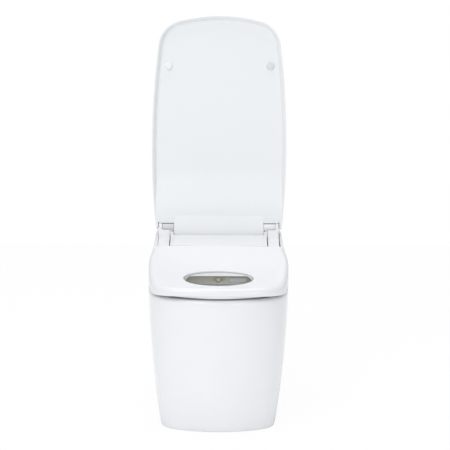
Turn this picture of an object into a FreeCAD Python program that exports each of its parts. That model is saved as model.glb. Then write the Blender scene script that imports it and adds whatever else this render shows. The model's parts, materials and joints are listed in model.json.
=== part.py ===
"""Bidet toilet: floor-standing, back to the wall, in millimetres.

The toilet faces -Y, +X is its left as it stands, +Z is up. The origin is on the floor, in the
middle of the length and width. The model stands with its seat down and its lid up.
"""
import FreeCAD, Part
import math
import os

os.makedirs("parts", exist_ok=True)

# Overall sizes
body_width = 390.0
body_depth = 690.0
rim_height = 370.0
rear_length = 250.0

# Shared clearances
overrun = 5.0
body_gap = 0.3
fit_gap = 0.06
bar_sides = 16
chord_steps = (6, 5, 3, 2, 1, 2, 3, 5)

# Plan of the rim: a broad front arc, a corner arc, and long side arcs
rim_front_radius = 240.0
rim_corner_radius = 125.0
side_radius = 1800.0
rear_side_radius = 6000.0
widest_from_front = 295.0

# Foot of the skirt
foot_side_setback = 32.0
foot_setback = 28.0
foot_front_radius = 230.0
foot_corner_radius = 75.0
flare_power_share = 1.7
skirt_levels = 3
hollow_levels = 2
rim_band = 14.0
rim_bevel = 6.0

# Ceramic walls and hollow
skin = 13.0
rim_slab = 26.0
service_width = 190.0
service_height = 190.0

# Bowl: height, width, length and shift of its ovals, as shares of its sizes
bowl_land = 57.0
bowl_side_land = 67.0
bowl_rear_land = 47.0
bowl_depth = 220.0
bowl_shift_share = 0.1726
bowl_sides = 32
bowl_outer_sides = 20
bowl_wall = 11.0
bowl_height_shares = (1.0, 0.75, 0.48, 0.22, 0.0)
bowl_width_shares = (1.0, 0.93, 0.79, 0.58, 0.34)
bowl_length_shares = (1.0, 0.92, 0.76, 0.54, 0.30)
bowl_shift_shares = (0.0, 0.11, 0.37, 0.70, 1.0)

# Trapway and outlet
outlet_from_wall = 200.0
trap_radius = 28.0
trap_wall = 9.0
trap_sides = 10
trap_bend_steps = 4
trap_bend = 46.0
trap_top_bend = 44.0
trap_rise_angle = 60.0
sump_drop = 32.0
outlet_radius = 44.0
outlet_length = 60.0
outlet_wall = 8.0
outlet_lift = 6.0
feed_from_bowl = 34.0
feed_radius = 11.0
feed_rise = 18.0
feed_seat = 16.0
feed_port_radius = 8.0
gasket_width = 14.0
gasket_height = 16.0

# Floor fixing
floor_fix_from_wall = 165.0
bracket_length = 60.0
bracket_width = 34.0
bracket_thickness = 3.0
bracket_height = 52.0
side_fix_height = 36.0
floor_screw_radius = 4.0
side_screw_radius = 3.0
screw_head_height = 3.5
fix_play = 0.5
side_cap_radius = 8.0
side_cap_height = 3.0

# Hinge
hinge_from_wall = 83.0
hinge_height = 468.0
hinge_pin_radius = 5.0
barrel_radius = 9.0
knuckle_radius = 11.5
barrel_length = 31.5
knuckle_length = 11.0
post_inset = 4.0
post_depth = 14.0
bracket_foot = 22.0
pin_end_inset = 2.0

# Seat
seat_rest_gap = 6.0
seat_front_radius = 380.0
seat_corner_radius = 95.0
seat_crest = 404.0
seat_split = 383.0
seat_wall = 3.5
seat_hole_flare = 8.0
seat_edge_bevel = 6.0
seat_rear_side_radius = 1200.0
seat_rear_height = 444.0
seat_hole_side_land = 96.5
seat_hole_from_front = 70.0
seat_hole_from_rear = 148.0
seat_hole_sides = 48
seat_arch = 7.0
seat_lip = 4.0
arch_side_inset = 19.0
seat_base_wall = 3.0
ramp_thickness = 14.0
ramp_slope_share = 0.34
ramp_side_gap = 9.5
heater_thickness = 1.0
heater_inset = 16.0
arm_side_inset = 21.5
arm_width = 32.0
arm_gap = 3.0
arm_top = 440.5
arm_bottom = 402.0
arm_bend = 26.0
arm_meet = 3.0
arm_heel = 14.0
buffer_radius = 8.0
seat_foot_from_side = 53.0
seat_foot_from_front = 95.0
seat_foot_from_rear = 55.0
seat_station_shares = (0.0, 0.25, 0.5, 0.75, 1.0)
seat_middle_shares = (0.0, -0.16, -0.23, 0.05, 1.0)
seat_side_shares = (-0.10, 0.18, 0.47, 0.72, 0.94)

# Lid
lid_overhang = 5.0
lid_side_inset = 0.5
lid_widest = 235.0
lid_side_radius = 2400.0
lid_front_radius = 460.0
lid_corner_radius = 80.0
lid_depth = 24.0
lid_edge_bevel = 8.0
lid_lip = 3.0
lid_border = 10.0
lid_tray_depth = 15.0
lid_lean = 5.0
lid_lip_offset = 2.0
lid_foot = 15.0
lid_band = 36.0
lid_tail = 30.0
lug_height = 14.0
lug_inset = 2.0
lug_rise = 1.5
lug_side_inset = 25.0
lid_tail_round = 9.0
lid_knuckle_width = 16.0
lid_buffer_radius = 10.5
lid_buffer_height = 7.0
lid_buffer_bevel = 2.0
lid_buffer_from_front = 145.0
lid_buffer_from_side = 47.5

# Housing
housing_wall = 3.0
deck_height = 444.0
deck_rise = 6.0
deck_rear_from_hinge = 24.0
cheek_front = 436.0
cheek_rear = 447.0
housing_side_inset = 8.0
housing_rear_inset = 2.2
housing_side_radius = 10000.0
channel_floor = 398.0
channel_past = 4.0
well_floor = 425.0
well_depth = 44.0
tray_thickness = 4.0
seam = 1.2

# Nozzle unit under the rear of the seat
shroud_half = 92.0
shroud_bottom = 358.0
shroud_top = 381.0
shroud_setback = 14.0
shroud_wall = 2.5
shroud_step_gap = 4.2
wand_angle = 15.0
wand_radius = 7.0
wand_bore_radius = 3.0
wand_length = 212.0
wand_travel = 90.0
wand_start_height = 370.0
tip_show = 1.0
tip_bevel = 2.5
spray_radius = 1.5
tip_length = 12.0
guide_start = 30.0
guide_length = 70.0
guide_wall = 1.8
guide_gap = 0.3
rack_width = 5.0
rack_root_x = 4.4
rack_pitch = 4.0
tooth_height = 1.9
tooth_root = 1.9
tooth_tip = 0.9
pinion_teeth = 12
pinion_width = 6.0
pinion_back = 112.0
pinion_reach = 0.8
shelf_thickness = 3.0
shaft_radius = 2.0
motor_length = 10.0
lamp_width = 7.5
lamp_height = 10.0
lamp_gap = 1.0
lamp_lift = 2.0
flap_width = 46.0
flap_height = 13.0
flap_thickness = 2.0
flap_middle = 55.0
flap_lift = 0.5
flap_gap = 0.6
flap_corner = 4.0
flap_pin_radius = 1.0
flap_pin_length = 3.0

# Dryer
blower_radius = 30.0
blower_height = 30.0
blower_wall = 2.5
wheel_radius = 24.0
wheel_height = 20.0
wheel_blades = 12
blade_thickness = 1.2
blade_depth = 6.0
wheel_disc = 1.6
blade_lean = 35.0
motor_radius = 5.5
blower_from_flap = 31.0
blower_from_wall = 173.0
blower_lift = 2.0
blower_motor_radius = 14.0
blower_motor_height = 18.0
shaft_into_motor = 6.0
blower_feet = 3
duct_height = 16.0
duct_from_wall = 207.0
duct_nose = 8.0
duct_bend = 56.0

# Electric and water pieces
service_hole_from_side = 73.0
service_hole_from_wall = 38.0
service_hole_radius = 16.0
tray_hole_radius = 11.0
bolt_from_hole = 27.0
bolt_radius = 4.0
nut_height = 6.0
board_from_bracket = 33.0
board_from_middle = 10.0
board_length = 54.0
board_thickness = 1.6
board_margin = 6.0
peg_radius = 2.5
peg_height = 8.0
chip_half = 9.0
relay_count = 3
supply_from_middle = 15.0
supply_from_bracket = 28.0
supply_height = 36.0
gland_bore_radius = 4.5
gland_length = 14.0
inlet_radius = 10.48
inlet_bore_radius = 6.0
inlet_length = 16.0
valve_half = 18.0
valve_height = 34.0
valve_coil = 14.0
heater_from_side = 70.0
heater_width = 90.0
heater_from_wall = 130.0
heater_length = 95.0
heater_height = 38.0
heater_round = 8.0
stub_radius = 5.0
stub_length = 12.0
flush_drop = 30.0
flush_height = 50.0
flush_radius = 24.0
flush_coil = 20.0

# Places that follow from the sizes
wall_y = body_depth / 2
front_y = -wall_y
half_width = body_width / 2
widest_y = front_y + widest_from_front
foot_width = body_width - 2 * foot_side_setback
hinge_y = wall_y - hinge_from_wall
seat_bottom = rim_height + seat_rest_gap
ring_rear_y = wall_y - rear_length
seat_ring_length = ring_rear_y - front_y
deck_front_y = ring_rear_y + seam
deck_rear_y = hinge_y - deck_rear_from_hinge
outlet_y = wall_y - outlet_from_wall
bowl_width = body_width - 2 * bowl_side_land
bowl_rear_y = ring_rear_y - bowl_rear_land
bowl_length = bowl_rear_y - front_y - bowl_land
bowl_middle_y = bowl_rear_y - bowl_length / 2
bowl_shift = bowl_length * bowl_shift_share
sump_y = bowl_middle_y + bowl_shift
feed_y = bowl_rear_y + feed_from_bowl
floor_fix_y = wall_y - floor_fix_from_wall
service_hole_x = half_width - service_hole_from_side
service_hole_y = wall_y - service_hole_from_wall
bolt_x = service_hole_x - bolt_from_hole
seat_hole_width = body_width - 2 * seat_hole_side_land
seat_hole_length = seat_ring_length - seat_hole_from_front - seat_hole_from_rear
seat_hole_y = front_y + seat_hole_from_front + seat_hole_length / 2
seat_foot_x = half_width - seat_foot_from_side
arch_half = half_width - arch_side_inset
arm_outer = half_width - arm_side_inset
arm_inner = arm_outer - arm_width
barrel_outer = arm_outer - knuckle_length
barrel_inner = barrel_outer - barrel_length
ramp_half = arm_inner - ramp_side_gap
deck_half = arm_inner - arm_gap
channel_outer = arm_outer + arm_gap
lid_length = hinge_y - front_y + lid_overhang
lid_width = body_width - 2 * lid_side_inset
lid_tail_half = barrel_inner - arm_gap
lug_outer = half_width - lug_side_inset
lid_buffer_reach = lid_length - lid_buffer_from_front
lid_buffer_x = lid_width / 2 - lid_buffer_from_side
pin_inner = lid_tail_half - lid_knuckle_width + pin_end_inset
pin_outer = arm_outer - pin_end_inset
bracket_inner = barrel_inner + post_inset - bracket_foot
seat_foot_front_y = front_y + seat_foot_from_front
seat_foot_rear_y = ring_rear_y - seat_foot_from_rear
arm_bend_y = hinge_y - arm_bend
tray_top = rim_height + tray_thickness
tray_front_y = deck_front_y + housing_wall + seam
shroud_front_y = seat_hole_y + seat_hole_length / 2 + shroud_setback
shroud_slope = ramp_slope_share
shroud_rear_top = shroud_top + (deck_front_y + housing_wall - shroud_front_y) * shroud_slope
tip_y = shroud_front_y - tip_show
rack_pitch_x = rack_root_x + tooth_height / 2
pinion_pitch_radius = pinion_teeth * rack_pitch / (2 * math.pi)
pinion_outer = pinion_pitch_radius + pinion_reach
pinion_x = rack_pitch_x + pinion_pitch_radius
lamp_x = wand_radius + seam + lamp_gap + lamp_width / 2
lamp_z = wand_start_height + lamp_lift
flap_z = wand_start_height + flap_lift
flap_pin_y = shroud_front_y + flap_thickness / 2
flap_pin_z = flap_z + flap_height / 2 - flap_pin_radius
duct_x0 = flap_middle - flap_width / 2 + shroud_wall
duct_x1 = flap_middle + flap_width / 2 - shroud_wall
duct_front_y = shroud_front_y + shroud_wall + body_gap
duct_rear_y = wall_y - duct_from_wall
blower_x = flap_middle + blower_from_flap
blower_y = wall_y - blower_from_wall
board_xs = (board_from_bracket - bracket_inner, -board_from_middle)
supply_x1 = bracket_inner - supply_from_bracket
heater_x1 = half_width - heater_from_side
heater_x0 = heater_x1 - heater_width
heater_y1 = wall_y - heater_from_wall
heater_y0 = heater_y1 - heater_length
board_ys = (hinge_y + arm_gap * 2, hinge_y + arm_gap * 2 + board_length)
heater_stub_z = tray_top + heater_height / 2
blower_z = tray_top + blower_lift


def vec(x, y, z):
    return FreeCAD.Vector(x, y, z)


X_AXIS = vec(1, 0, 0)
Y_AXIS = vec(0, 1, 0)
Z_AXIS = vec(0, 0, 1)
ORIGIN = vec(0, 0, 0)


def block(x0, x1, y0, y1, z0, z1):
    """A box between two corners."""
    return Part.makeBox(x1 - x0, y1 - y0, z1 - z0, vec(x0, y0, z0))


def rod(start, direction, radius, length):
    """A round bar from its start."""
    return Part.makeCylinder(radius, length, start, direction)


def bar(start, direction, radius, length):
    """A bar in flat sides, just inside a round one, for a hidden round piece."""
    turns = [2 * math.pi * (i + 0.5) / bar_sides for i in range(bar_sides)]
    side = X_AXIS if abs(direction.x) < 0.5 else Y_AXIS
    side = (side - direction * side.dot(direction)).normalize()
    other = direction.cross(side).normalize()
    corners = [start + (side * math.cos(a) + other * math.sin(a)) * radius for a in turns]
    face = Part.Face(Part.makePolygon(corners + corners[:1]))
    return face.extrude(vec(direction.x, direction.y, direction.z).normalize() * length)


def mirrored(shape):
    """The same shape on the other side of the toilet."""
    return shape.mirror(ORIGIN, X_AXIS)


def both_sides(shape):
    """A shape and its mirror image, as separate solids."""
    return Part.makeCompound([shape, mirrored(shape)])


def profile_x(points, x0, x1):
    """A prism along X from (y, z) points."""
    corners = [vec(x0, y, z) for y, z in points]
    face = Part.Face(Part.makePolygon(corners + corners[:1]))
    return face.extrude(vec(x1 - x0, 0, 0))


def export(name, shape):
    """Write one sub-part."""
    shape.exportStep("parts/" + name + ".step")


# Outlines in plan

def make_plan(front, widest, half, front_radius, corner_radius, side, rear_side, back):
    """The values of one plan outline."""
    return dict(front=front, widest=widest, half=half, front_radius=front_radius,
                corner_radius=corner_radius, side=side, rear_side=rear_side, back=back)


def inset_plan(plan, inset, back_inset=0.0):
    """The outline a constant distance inside another."""
    return make_plan(plan["front"] + inset, plan["widest"], plan["half"] - inset,
                     plan["front_radius"] - inset, plan["corner_radius"] - inset,
                     plan["side"] - inset, plan["rear_side"] - inset, plan["back"] - back_inset)


def circle_meet(first, first_radius, second, second_radius):
    """Where two circles in plan cross, on the side towards the front."""
    span = second - first
    length = span.Length
    along = (length ** 2 + first_radius ** 2 - second_radius ** 2) / (2 * length)
    across = math.sqrt(first_radius ** 2 - along ** 2)
    unit = span / length
    meets = [first + unit * along + vec(-unit.y, unit.x, 0) * across * sign for sign in (1, -1)]
    return min(meets, key=lambda point: point.y)


def arc_edge(centre, radius, start, end):
    """The shorter arc of a circle between two of its points."""
    middle = (start - centre) + (end - centre)
    middle.normalize()
    return Part.Arc(start, centre + middle * radius, end).toShape()


def plan_edges(plan, z):
    """The outline's edges at a height: front arc, corners, sides and straight back."""
    lift = vec(0, 0, z)
    front_centre = vec(0, plan["front"] + plan["front_radius"], 0)
    side_centre = vec(plan["half"] - plan["side"], plan["widest"], 0)
    rear_centre = vec(plan["half"] - plan["rear_side"], plan["widest"], 0)
    corner = circle_meet(front_centre, plan["front_radius"] - plan["corner_radius"],
                         side_centre, plan["side"] - plan["corner_radius"])
    front_way = (corner - front_centre).normalize()
    side_way = (corner - side_centre).normalize()
    front_end = front_centre + front_way * plan["front_radius"]
    side_start = side_centre + side_way * plan["side"]
    widest = vec(plan["half"], plan["widest"], 0)
    run = plan["back"] - plan["widest"]
    back_x = rear_centre.x + math.sqrt(plan["rear_side"] ** 2 - run ** 2)
    back = vec(back_x, plan["back"], 0)
    right = [(corner, plan["corner_radius"], front_end, side_start),
             (side_centre, plan["side"], side_start, widest),
             (rear_centre, plan["rear_side"], widest, back)]

    def flip(point):
        return vec(-point.x, point.y, point.z)

    edges = [arc_edge(front_centre + lift, plan["front_radius"], flip(front_end) + lift,
                      front_end + lift)]
    edges += [arc_edge(c + lift, r, a + lift, b + lift) for c, r, a, b in right]
    edges.append(Part.LineSegment(back + lift, flip(back) + lift).toShape())
    edges += [arc_edge(flip(c) + lift, r, flip(b) + lift, flip(a) + lift)
              for c, r, a, b in reversed(right)]
    return edges


def plan_wire(plan, z):
    return Part.Wire(plan_edges(plan, z))


def chord_wire(plan, z):
    """The outline in straight chords, a few to each of its arcs."""
    corners = []
    for edge, steps in zip(plan_edges(plan, z), chord_steps):
        corners += edge.discretize(steps + 1)[:-1]
    return Part.makePolygon(corners + corners[:1])


def plan_prism(plan, z0, z1):
    """The outline drawn up from one height to another."""
    return Part.Face(plan_wire(plan, z0)).extrude(vec(0, 0, z1 - z0))


def loft(wires, ruled=True):
    """A solid through outlines, in straight bands or smooth, with its faces outward."""
    form = Part.makeLoft(wires, True, ruled)
    if form.Volume < 0:
        form.reverse()
    return form


# Ceramic body

rim_plan = make_plan(front_y, widest_y, half_width, rim_front_radius, rim_corner_radius,
                     side_radius, rear_side_radius, wall_y)


def skirt_plan(share):
    """The skirt's outline at a share of the rim's height: it flares out as it rises."""
    lack = (1 - share) ** flare_power_share
    foot_half = foot_width / 2
    half = half_width + (foot_half - half_width) * lack
    front = front_y + foot_setback * lack
    front_radius = rim_front_radius + (foot_front_radius - rim_front_radius) * lack
    corner_radius = rim_corner_radius + (foot_corner_radius - rim_corner_radius) * lack
    return make_plan(front, widest_y, half, front_radius, corner_radius, side_radius,
                     rear_side_radius, wall_y)


def skirt_form(inset, bottom, top, levels, outline):
    """The flared skirt, or the hollow inside it, in level bands between outlines."""
    wires = []
    flare_height = rim_height - rim_band
    for level in range(levels + 1):
        z = bottom + (top - bottom) * level / levels
        plan = inset_plan(skirt_plan(min(max(z / flare_height, 0), 1)), inset, inset)
        wires.append(outline(plan, z))
    return loft(wires)


def oval_wire(half_x, half_y, centre_y, z, sides):
    """A level oval drawn in short straight sides."""
    turns = [2 * math.pi * (i + 0.5) / sides for i in range(sides)]
    corners = [vec(half_x * math.cos(a), centre_y + half_y * math.sin(a), z) for a in turns]
    return Part.makePolygon(corners + corners[:1])


def bowl_form(wall, lift, sides, step=1):
    """The bowl's inside, or its outside when a wall is given, in bands between its ovals."""
    wires = []
    rows = list(zip(bowl_height_shares, bowl_width_shares, bowl_length_shares, bowl_shift_shares))
    for height, width, length, shift in rows[::step]:
        z = rim_height - bowl_depth * (1 - height) - wall * (1 - height)
        z += lift if height == bowl_height_shares[0] else 0
        wires.append(oval_wire(bowl_width / 2 * width + wall, bowl_length / 2 * length + wall,
                               bowl_middle_y + bowl_shift * shift, z, sides))
    return loft(wires)


def trap_form(radius, end_z):
    """The trapway: down from the sump, back up over the weir, and down to the outlet."""
    rise = math.radians(trap_rise_angle)
    trap_rise = outlet_y - sump_y - (trap_bend + trap_top_bend) * (1 + math.sin(rise))
    trap_rise /= math.cos(rise)
    sump_z = rim_height - bowl_depth
    low_centre_z = sump_z - sump_drop
    start = vec(0, sump_y, sump_z + overrun)
    low_centre = vec(0, sump_y + trap_bend, low_centre_z)
    way = vec(0, math.cos(rise), math.sin(rise))
    side = vec(0, math.sin(rise), -math.cos(rise))
    bend_end = low_centre + side * trap_bend
    rise_end = bend_end + way * trap_rise
    top_centre = rise_end + side * trap_top_bend

    def bend(centre, reach, first, last):
        """Places along a bend, in equal turns from its start to its end."""
        turns = [first + (last - first) * i / trap_bend_steps for i in range(trap_bend_steps + 1)]
        return [centre + vec(0, math.cos(a), math.sin(a)) * reach for a in turns]

    quarter = math.pi / 2
    path = [start] + bend(low_centre, trap_bend, -2 * quarter, rise - quarter)
    path += bend(top_centre, trap_top_bend, rise + quarter, 0.0)
    path.append(vec(0, top_centre.y + trap_top_bend, end_z))
    corner = radius / math.cos(math.pi / trap_sides)
    turns = [2 * math.pi * (i + 0.5) / trap_sides for i in range(trap_sides)]
    corners = [start + vec(corner * math.cos(a), corner * math.sin(a), 0) for a in turns]
    section = Part.makePolygon(corners + corners[:1])
    return Part.makePolygon(path).makePipeShell([section], True, False, 1)


def skirt_x(y, z):
    """Half the skirt's width behind its widest place."""
    plan = skirt_plan(z / (rim_height - rim_band))
    run = y - plan["widest"]
    return plan["half"] - plan["rear_side"] + math.sqrt(plan["rear_side"] ** 2 - run ** 2)


fix_outer_x = skirt_x(floor_fix_y, side_fix_height)
fix_inner_x = skirt_x(floor_fix_y + bracket_length / 2, 0) - skin
floor_hole_x = fix_inner_x - body_gap - bracket_width / 2


def make_ceramic():
    """Skirt, rim, bowl and trapway in one hollow casting, open below and at the back."""
    skirt = skirt_form(0.0, 0.0, rim_height - rim_band, skirt_levels, plan_wire)
    rim = plan_prism(rim_plan, rim_height - rim_band, rim_height)
    rim_edges = [e for e in rim.Edges if e.BoundBox.ZMin > rim_height - overrun / 2
                 and e.BoundBox.YMin < wall_y - overrun]
    skirt = skirt.fuse(rim.makeChamfer(rim_bevel, rim_edges))
    hollow = skirt_form(skin, -overrun, rim_height - rim_slab, hollow_levels, chord_wire)
    boss_top = rim_height - rim_slab
    boss = rod(vec(0, outlet_y, outlet_lift), Z_AXIS, outlet_radius + outlet_wall,
               outlet_length + overrun)
    body = skirt.cut(hollow)
    bowl_outside = bowl_form(bowl_wall, 0, bowl_outer_sides, 2)
    body = body.fuse([bowl_outside, trap_form(trap_radius + trap_wall, outlet_lift), boss])
    body = body.cut(bowl_form(0.0, overrun, bowl_sides))
    body = body.cut(trap_form(trap_radius, 0.0))
    body = body.cut(rod(vec(0, outlet_y, 0), Z_AXIS, outlet_radius, outlet_lift + outlet_length))
    half_service = service_width / 2
    body = body.cut(block(-half_service, half_service, wall_y - skin - overrun, wall_y + overrun,
                          -overrun, service_height))
    feed_down = rod(vec(0, feed_y, boss_top - overrun), Z_AXIS, feed_radius + body_gap,
                    feed_rise + overrun)
    feed_across = rod(vec(0, feed_y, boss_top + feed_rise - feed_port_radius), -Y_AXIS, feed_port_radius,
                      feed_y - bowl_rear_y + overrun * 2)
    body = body.cut(feed_down).cut(feed_across)
    for x in (-service_hole_x, service_hole_x):
        body = body.cut(rod(vec(x, service_hole_y, boss_top - overrun), Z_AXIS, service_hole_radius,
                            rim_slab + 2 * overrun))
    for x in (-bolt_x, bolt_x):
        body = body.cut(rod(vec(x, service_hole_y, boss_top - overrun), Z_AXIS, bolt_radius + body_gap,
                            rim_slab + 2 * overrun))
    for way in (-1, 1):
        side = vec(way, 0, 0)
        start = vec(way * (fix_inner_x - overrun), floor_fix_y, side_fix_height)
        body = body.cut(rod(start, side, side_screw_radius + fix_play, skin + 3 * overrun))
        depth = side_cap_height + screw_head_height
        seat = vec(way * (fix_outer_x - depth), floor_fix_y, side_fix_height)
        body = body.cut(rod(seat, side, side_cap_radius + body_gap, depth + overrun))
    return body


def make_gasket():
    """The rubber ring round the outlet, on the floor."""
    ring = bar(vec(0, outlet_y, 0), Z_AXIS, outlet_radius + outlet_wall + gasket_width,
               gasket_height)
    ring = ring.cut(rod(vec(0, outlet_y, 0), Z_AXIS, outlet_radius + outlet_wall + body_gap,
                        gasket_height))
    return ring


def make_floor_bracket():
    """An angle inside the skirt, screwed to the floor and held by the side screw."""
    top_x = fix_inner_x - body_gap
    y0 = floor_fix_y - bracket_length / 2
    y1 = floor_fix_y + bracket_length / 2
    foot = block(top_x - bracket_width, top_x, y0, y1, 0, bracket_thickness)
    upright = block(top_x - bracket_thickness, top_x, y0, y1, 0, bracket_height)
    bracket = foot.fuse(upright)
    bracket = bracket.cut(rod(vec(floor_hole_x, floor_fix_y, -overrun), Z_AXIS,
                              floor_screw_radius + fix_play, bracket_thickness + 2 * overrun))
    bracket = bracket.cut(rod(vec(top_x - bracket_thickness - overrun, floor_fix_y, side_fix_height),
                              X_AXIS, side_screw_radius, bracket_thickness + 2 * overrun))
    return bracket


def make_side_screw():
    """The screw through the skirt into the bracket."""
    head_x = fix_outer_x - side_cap_height - screw_head_height
    shank_start = fix_inner_x - body_gap - bracket_thickness
    shank = bar(vec(shank_start, floor_fix_y, side_fix_height), X_AXIS, side_screw_radius,
                head_x - shank_start)
    head = bar(vec(head_x, floor_fix_y, side_fix_height), X_AXIS, side_screw_radius * 2,
               screw_head_height)
    return shank.fuse(head)


def make_side_cap():
    """The round cover over the side screw, just proud of the skirt."""
    return rod(vec(fix_outer_x - side_cap_height, floor_fix_y, side_fix_height), X_AXIS,
               side_cap_radius, side_cap_height)


# Seat

seat_plan = make_plan(front_y, widest_y, half_width, seat_front_radius, seat_corner_radius,
                      side_radius, seat_rear_side_radius, ring_rear_y)


def saddle(drop):
    """All that lies above the seat's dished top, lowered by a drop."""
    rise = seat_rear_height - seat_crest
    reach = half_width + overrun
    wires = []
    for share, middle, side in zip(seat_station_shares, seat_middle_shares, seat_side_shares):
        y = front_y - overrun + (seat_ring_length + 2 * overrun) * share
        low = seat_crest + rise * middle - drop
        edge = seat_crest + rise * side - drop
        top = seat_rear_height + overrun
        left, right = vec(-reach, y, edge), vec(reach, y, edge)
        wires.append(Part.Wire([Part.Arc(left, vec(0, y, low), right).toShape(),
                                Part.LineSegment(right, vec(reach, y, top)).toShape(),
                                Part.LineSegment(vec(reach, y, top), vec(-reach, y, top)).toShape(),
                                Part.LineSegment(vec(-reach, y, top), left).toShape()]))
    return loft(wires, False)


def seat_hole(grow, flare=0.0):
    """The seat's oval opening, or the wall round it; a flare widens it upwards from the split."""
    def ring(extra, z):
        return oval_wire(seat_hole_width / 2 + extra, seat_hole_length / 2 + extra, seat_hole_y, z,
                         seat_hole_sides)
    flare_start = seat_split + seat_base_wall
    return loft([ring(grow, seat_bottom - overrun), ring(grow, flare_start),
                 ring(grow + flare, seat_crest), ring(grow + 3 * flare, seat_rear_height + overrun)])


def under_ramp(lift):
    """The wedge below the seat's rear ramp, where the nozzle unit fits."""
    rear_z = seat_rear_height - ramp_thickness + lift
    start_y = ring_rear_y - (rear_z - seat_bottom) / ramp_slope_share
    end_y = ring_rear_y + overrun
    end_z = rear_z + overrun * ramp_slope_share
    low = seat_bottom - overrun
    start = start_y - overrun / ramp_slope_share
    return profile_x([(start, low), (end_y, end_z), (end_y, low)], -ramp_half + lift, ramp_half - lift)


def make_arm():
    """One hinge arm: a bar back from the ring and up to its knuckle."""
    front = ring_rear_y - seat_wall
    points = [(front, arm_top), (arm_bend_y, arm_top), (hinge_y - knuckle_radius + body_gap,
                                                        hinge_height - arm_meet),
              (hinge_y, hinge_height), (hinge_y, hinge_height - knuckle_radius + body_gap),
              (hinge_y - arm_heel, arm_bottom + body_gap * 2), (front, arm_bottom)]
    arm = profile_x(points, arm_inner, arm_outer)
    arm = arm.cut(block(arm_inner - overrun, barrel_outer + seam, hinge_y - barrel_radius - arm_gap,
                        hinge_y + knuckle_radius, rim_height, hinge_height + knuckle_radius))
    knuckle = rod(vec(barrel_outer + seam, hinge_y, hinge_height), X_AXIS, knuckle_radius,
                  arm_outer - barrel_outer - seam)
    return arm.fuse(knuckle)


def on_outline(point):
    """Whether a point lies on the seat's outer wall."""
    wall = plan_wire(seat_plan, point.z)
    return wall.distToShape(Part.Vertex(point))[0] < fit_gap


def make_seat():
    """The seat's top shell with its arms, its base, its heater and its rubber feet."""
    ring = plan_prism(seat_plan, seat_bottom, seat_rear_height + overrun / 2)
    ring = ring.cut(saddle(0)).cut(seat_hole(0.0, seat_hole_flare))
    top_edges = [e for e in ring.Edges if e.BoundBox.ZMin > seat_split]

    def outline_edge(edge):
        middle = edge.CenterOfMass
        return (edge.BoundBox.ZLength < overrun * 3 and middle.y < ring_rear_y - seam
                and edge.BoundBox.DiagonalLength > seam
                and all(on_outline(v.Point) for v in edge.Vertexes))

    ring = ring.makeChamfer(seat_edge_bevel, [e for e in top_edges if outline_edge(e)])
    hollow = plan_prism(inset_plan(seat_plan, seat_lip, seat_wall), seat_bottom - overrun,
                        seat_rear_height)
    hollow = hollow.cut(saddle(seat_wall)).cut(seat_hole(seat_wall, seat_hole_flare))
    arch_radius = (arch_half ** 2 + seat_arch ** 2) / (2 * seat_arch)
    arch = rod(vec(0, front_y - overrun, seat_split - arch_radius), Y_AXIS, arch_radius,
               seat_hole_from_front - overrun)
    shell = ring.cut(hollow).cut(under_ramp(0)).cut(arch)
    arm = make_arm()
    shell = shell.fuse([arm, mirrored(arm)])
    pin_hole = rod(vec(barrel_outer, hinge_y, hinge_height), X_AXIS, hinge_pin_radius + fit_gap,
                   arm_outer - barrel_outer + overrun)
    shell = shell.cut(pin_hole).cut(mirrored(pin_hole))

    base_plan = make_plan(front_y + seat_lip, widest_y, half_width - seat_lip - fit_gap,
                          rim_front_radius - seat_lip, rim_corner_radius - seat_lip, side_radius,
                          seat_rear_side_radius - seat_lip, ring_rear_y - seat_wall - fit_gap)
    plate = plan_prism(base_plan, seat_bottom, seat_split)
    plate = plate.cut(seat_hole(seat_wall + fit_gap)).cut(under_ramp(0))
    ramp = hollow.common(under_ramp(seat_base_wall)).cut(under_ramp(0))
    ramp = ramp.cut(block(-half_width, half_width, front_y, ring_rear_y, seat_bottom - overrun,
                          seat_split))
    base = plate.fuse(ramp)

    sheet = plan_prism(inset_plan(seat_plan, heater_inset, heater_inset), seat_split, seat_rear_height)
    sheet = sheet.cut(seat_hole(heater_inset - overrun)).common(saddle(seat_wall + heater_thickness))
    sheet = sheet.cut(saddle(seat_wall + fit_gap))
    return shell, base, sheet


def make_seat_buffers():
    """Four rubber feet under the seat's base."""
    feet = []
    for y in (seat_foot_front_y, seat_foot_rear_y):
        foot = bar(vec(seat_foot_x, y, rim_height + body_gap), Z_AXIS, buffer_radius,
                   seat_rest_gap - body_gap)
        feet += [foot, mirrored(foot)]
    return Part.makeCompound(feet)


# Lid, modelled lying flat with the hinge axis at the origin, then raised

lid_plan = make_plan(-lid_length, -lid_widest, lid_width / 2, lid_front_radius, lid_corner_radius,
                     lid_side_radius, lid_side_radius, -lid_foot)


def raised(shape):
    """Stand a flat lid piece up on the hinge, leaning back."""
    shape.rotate(ORIGIN, vec(-1, 0, 0), 90 + lid_lean)
    shape.translate(vec(0, hinge_y, hinge_height))
    return shape


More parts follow.
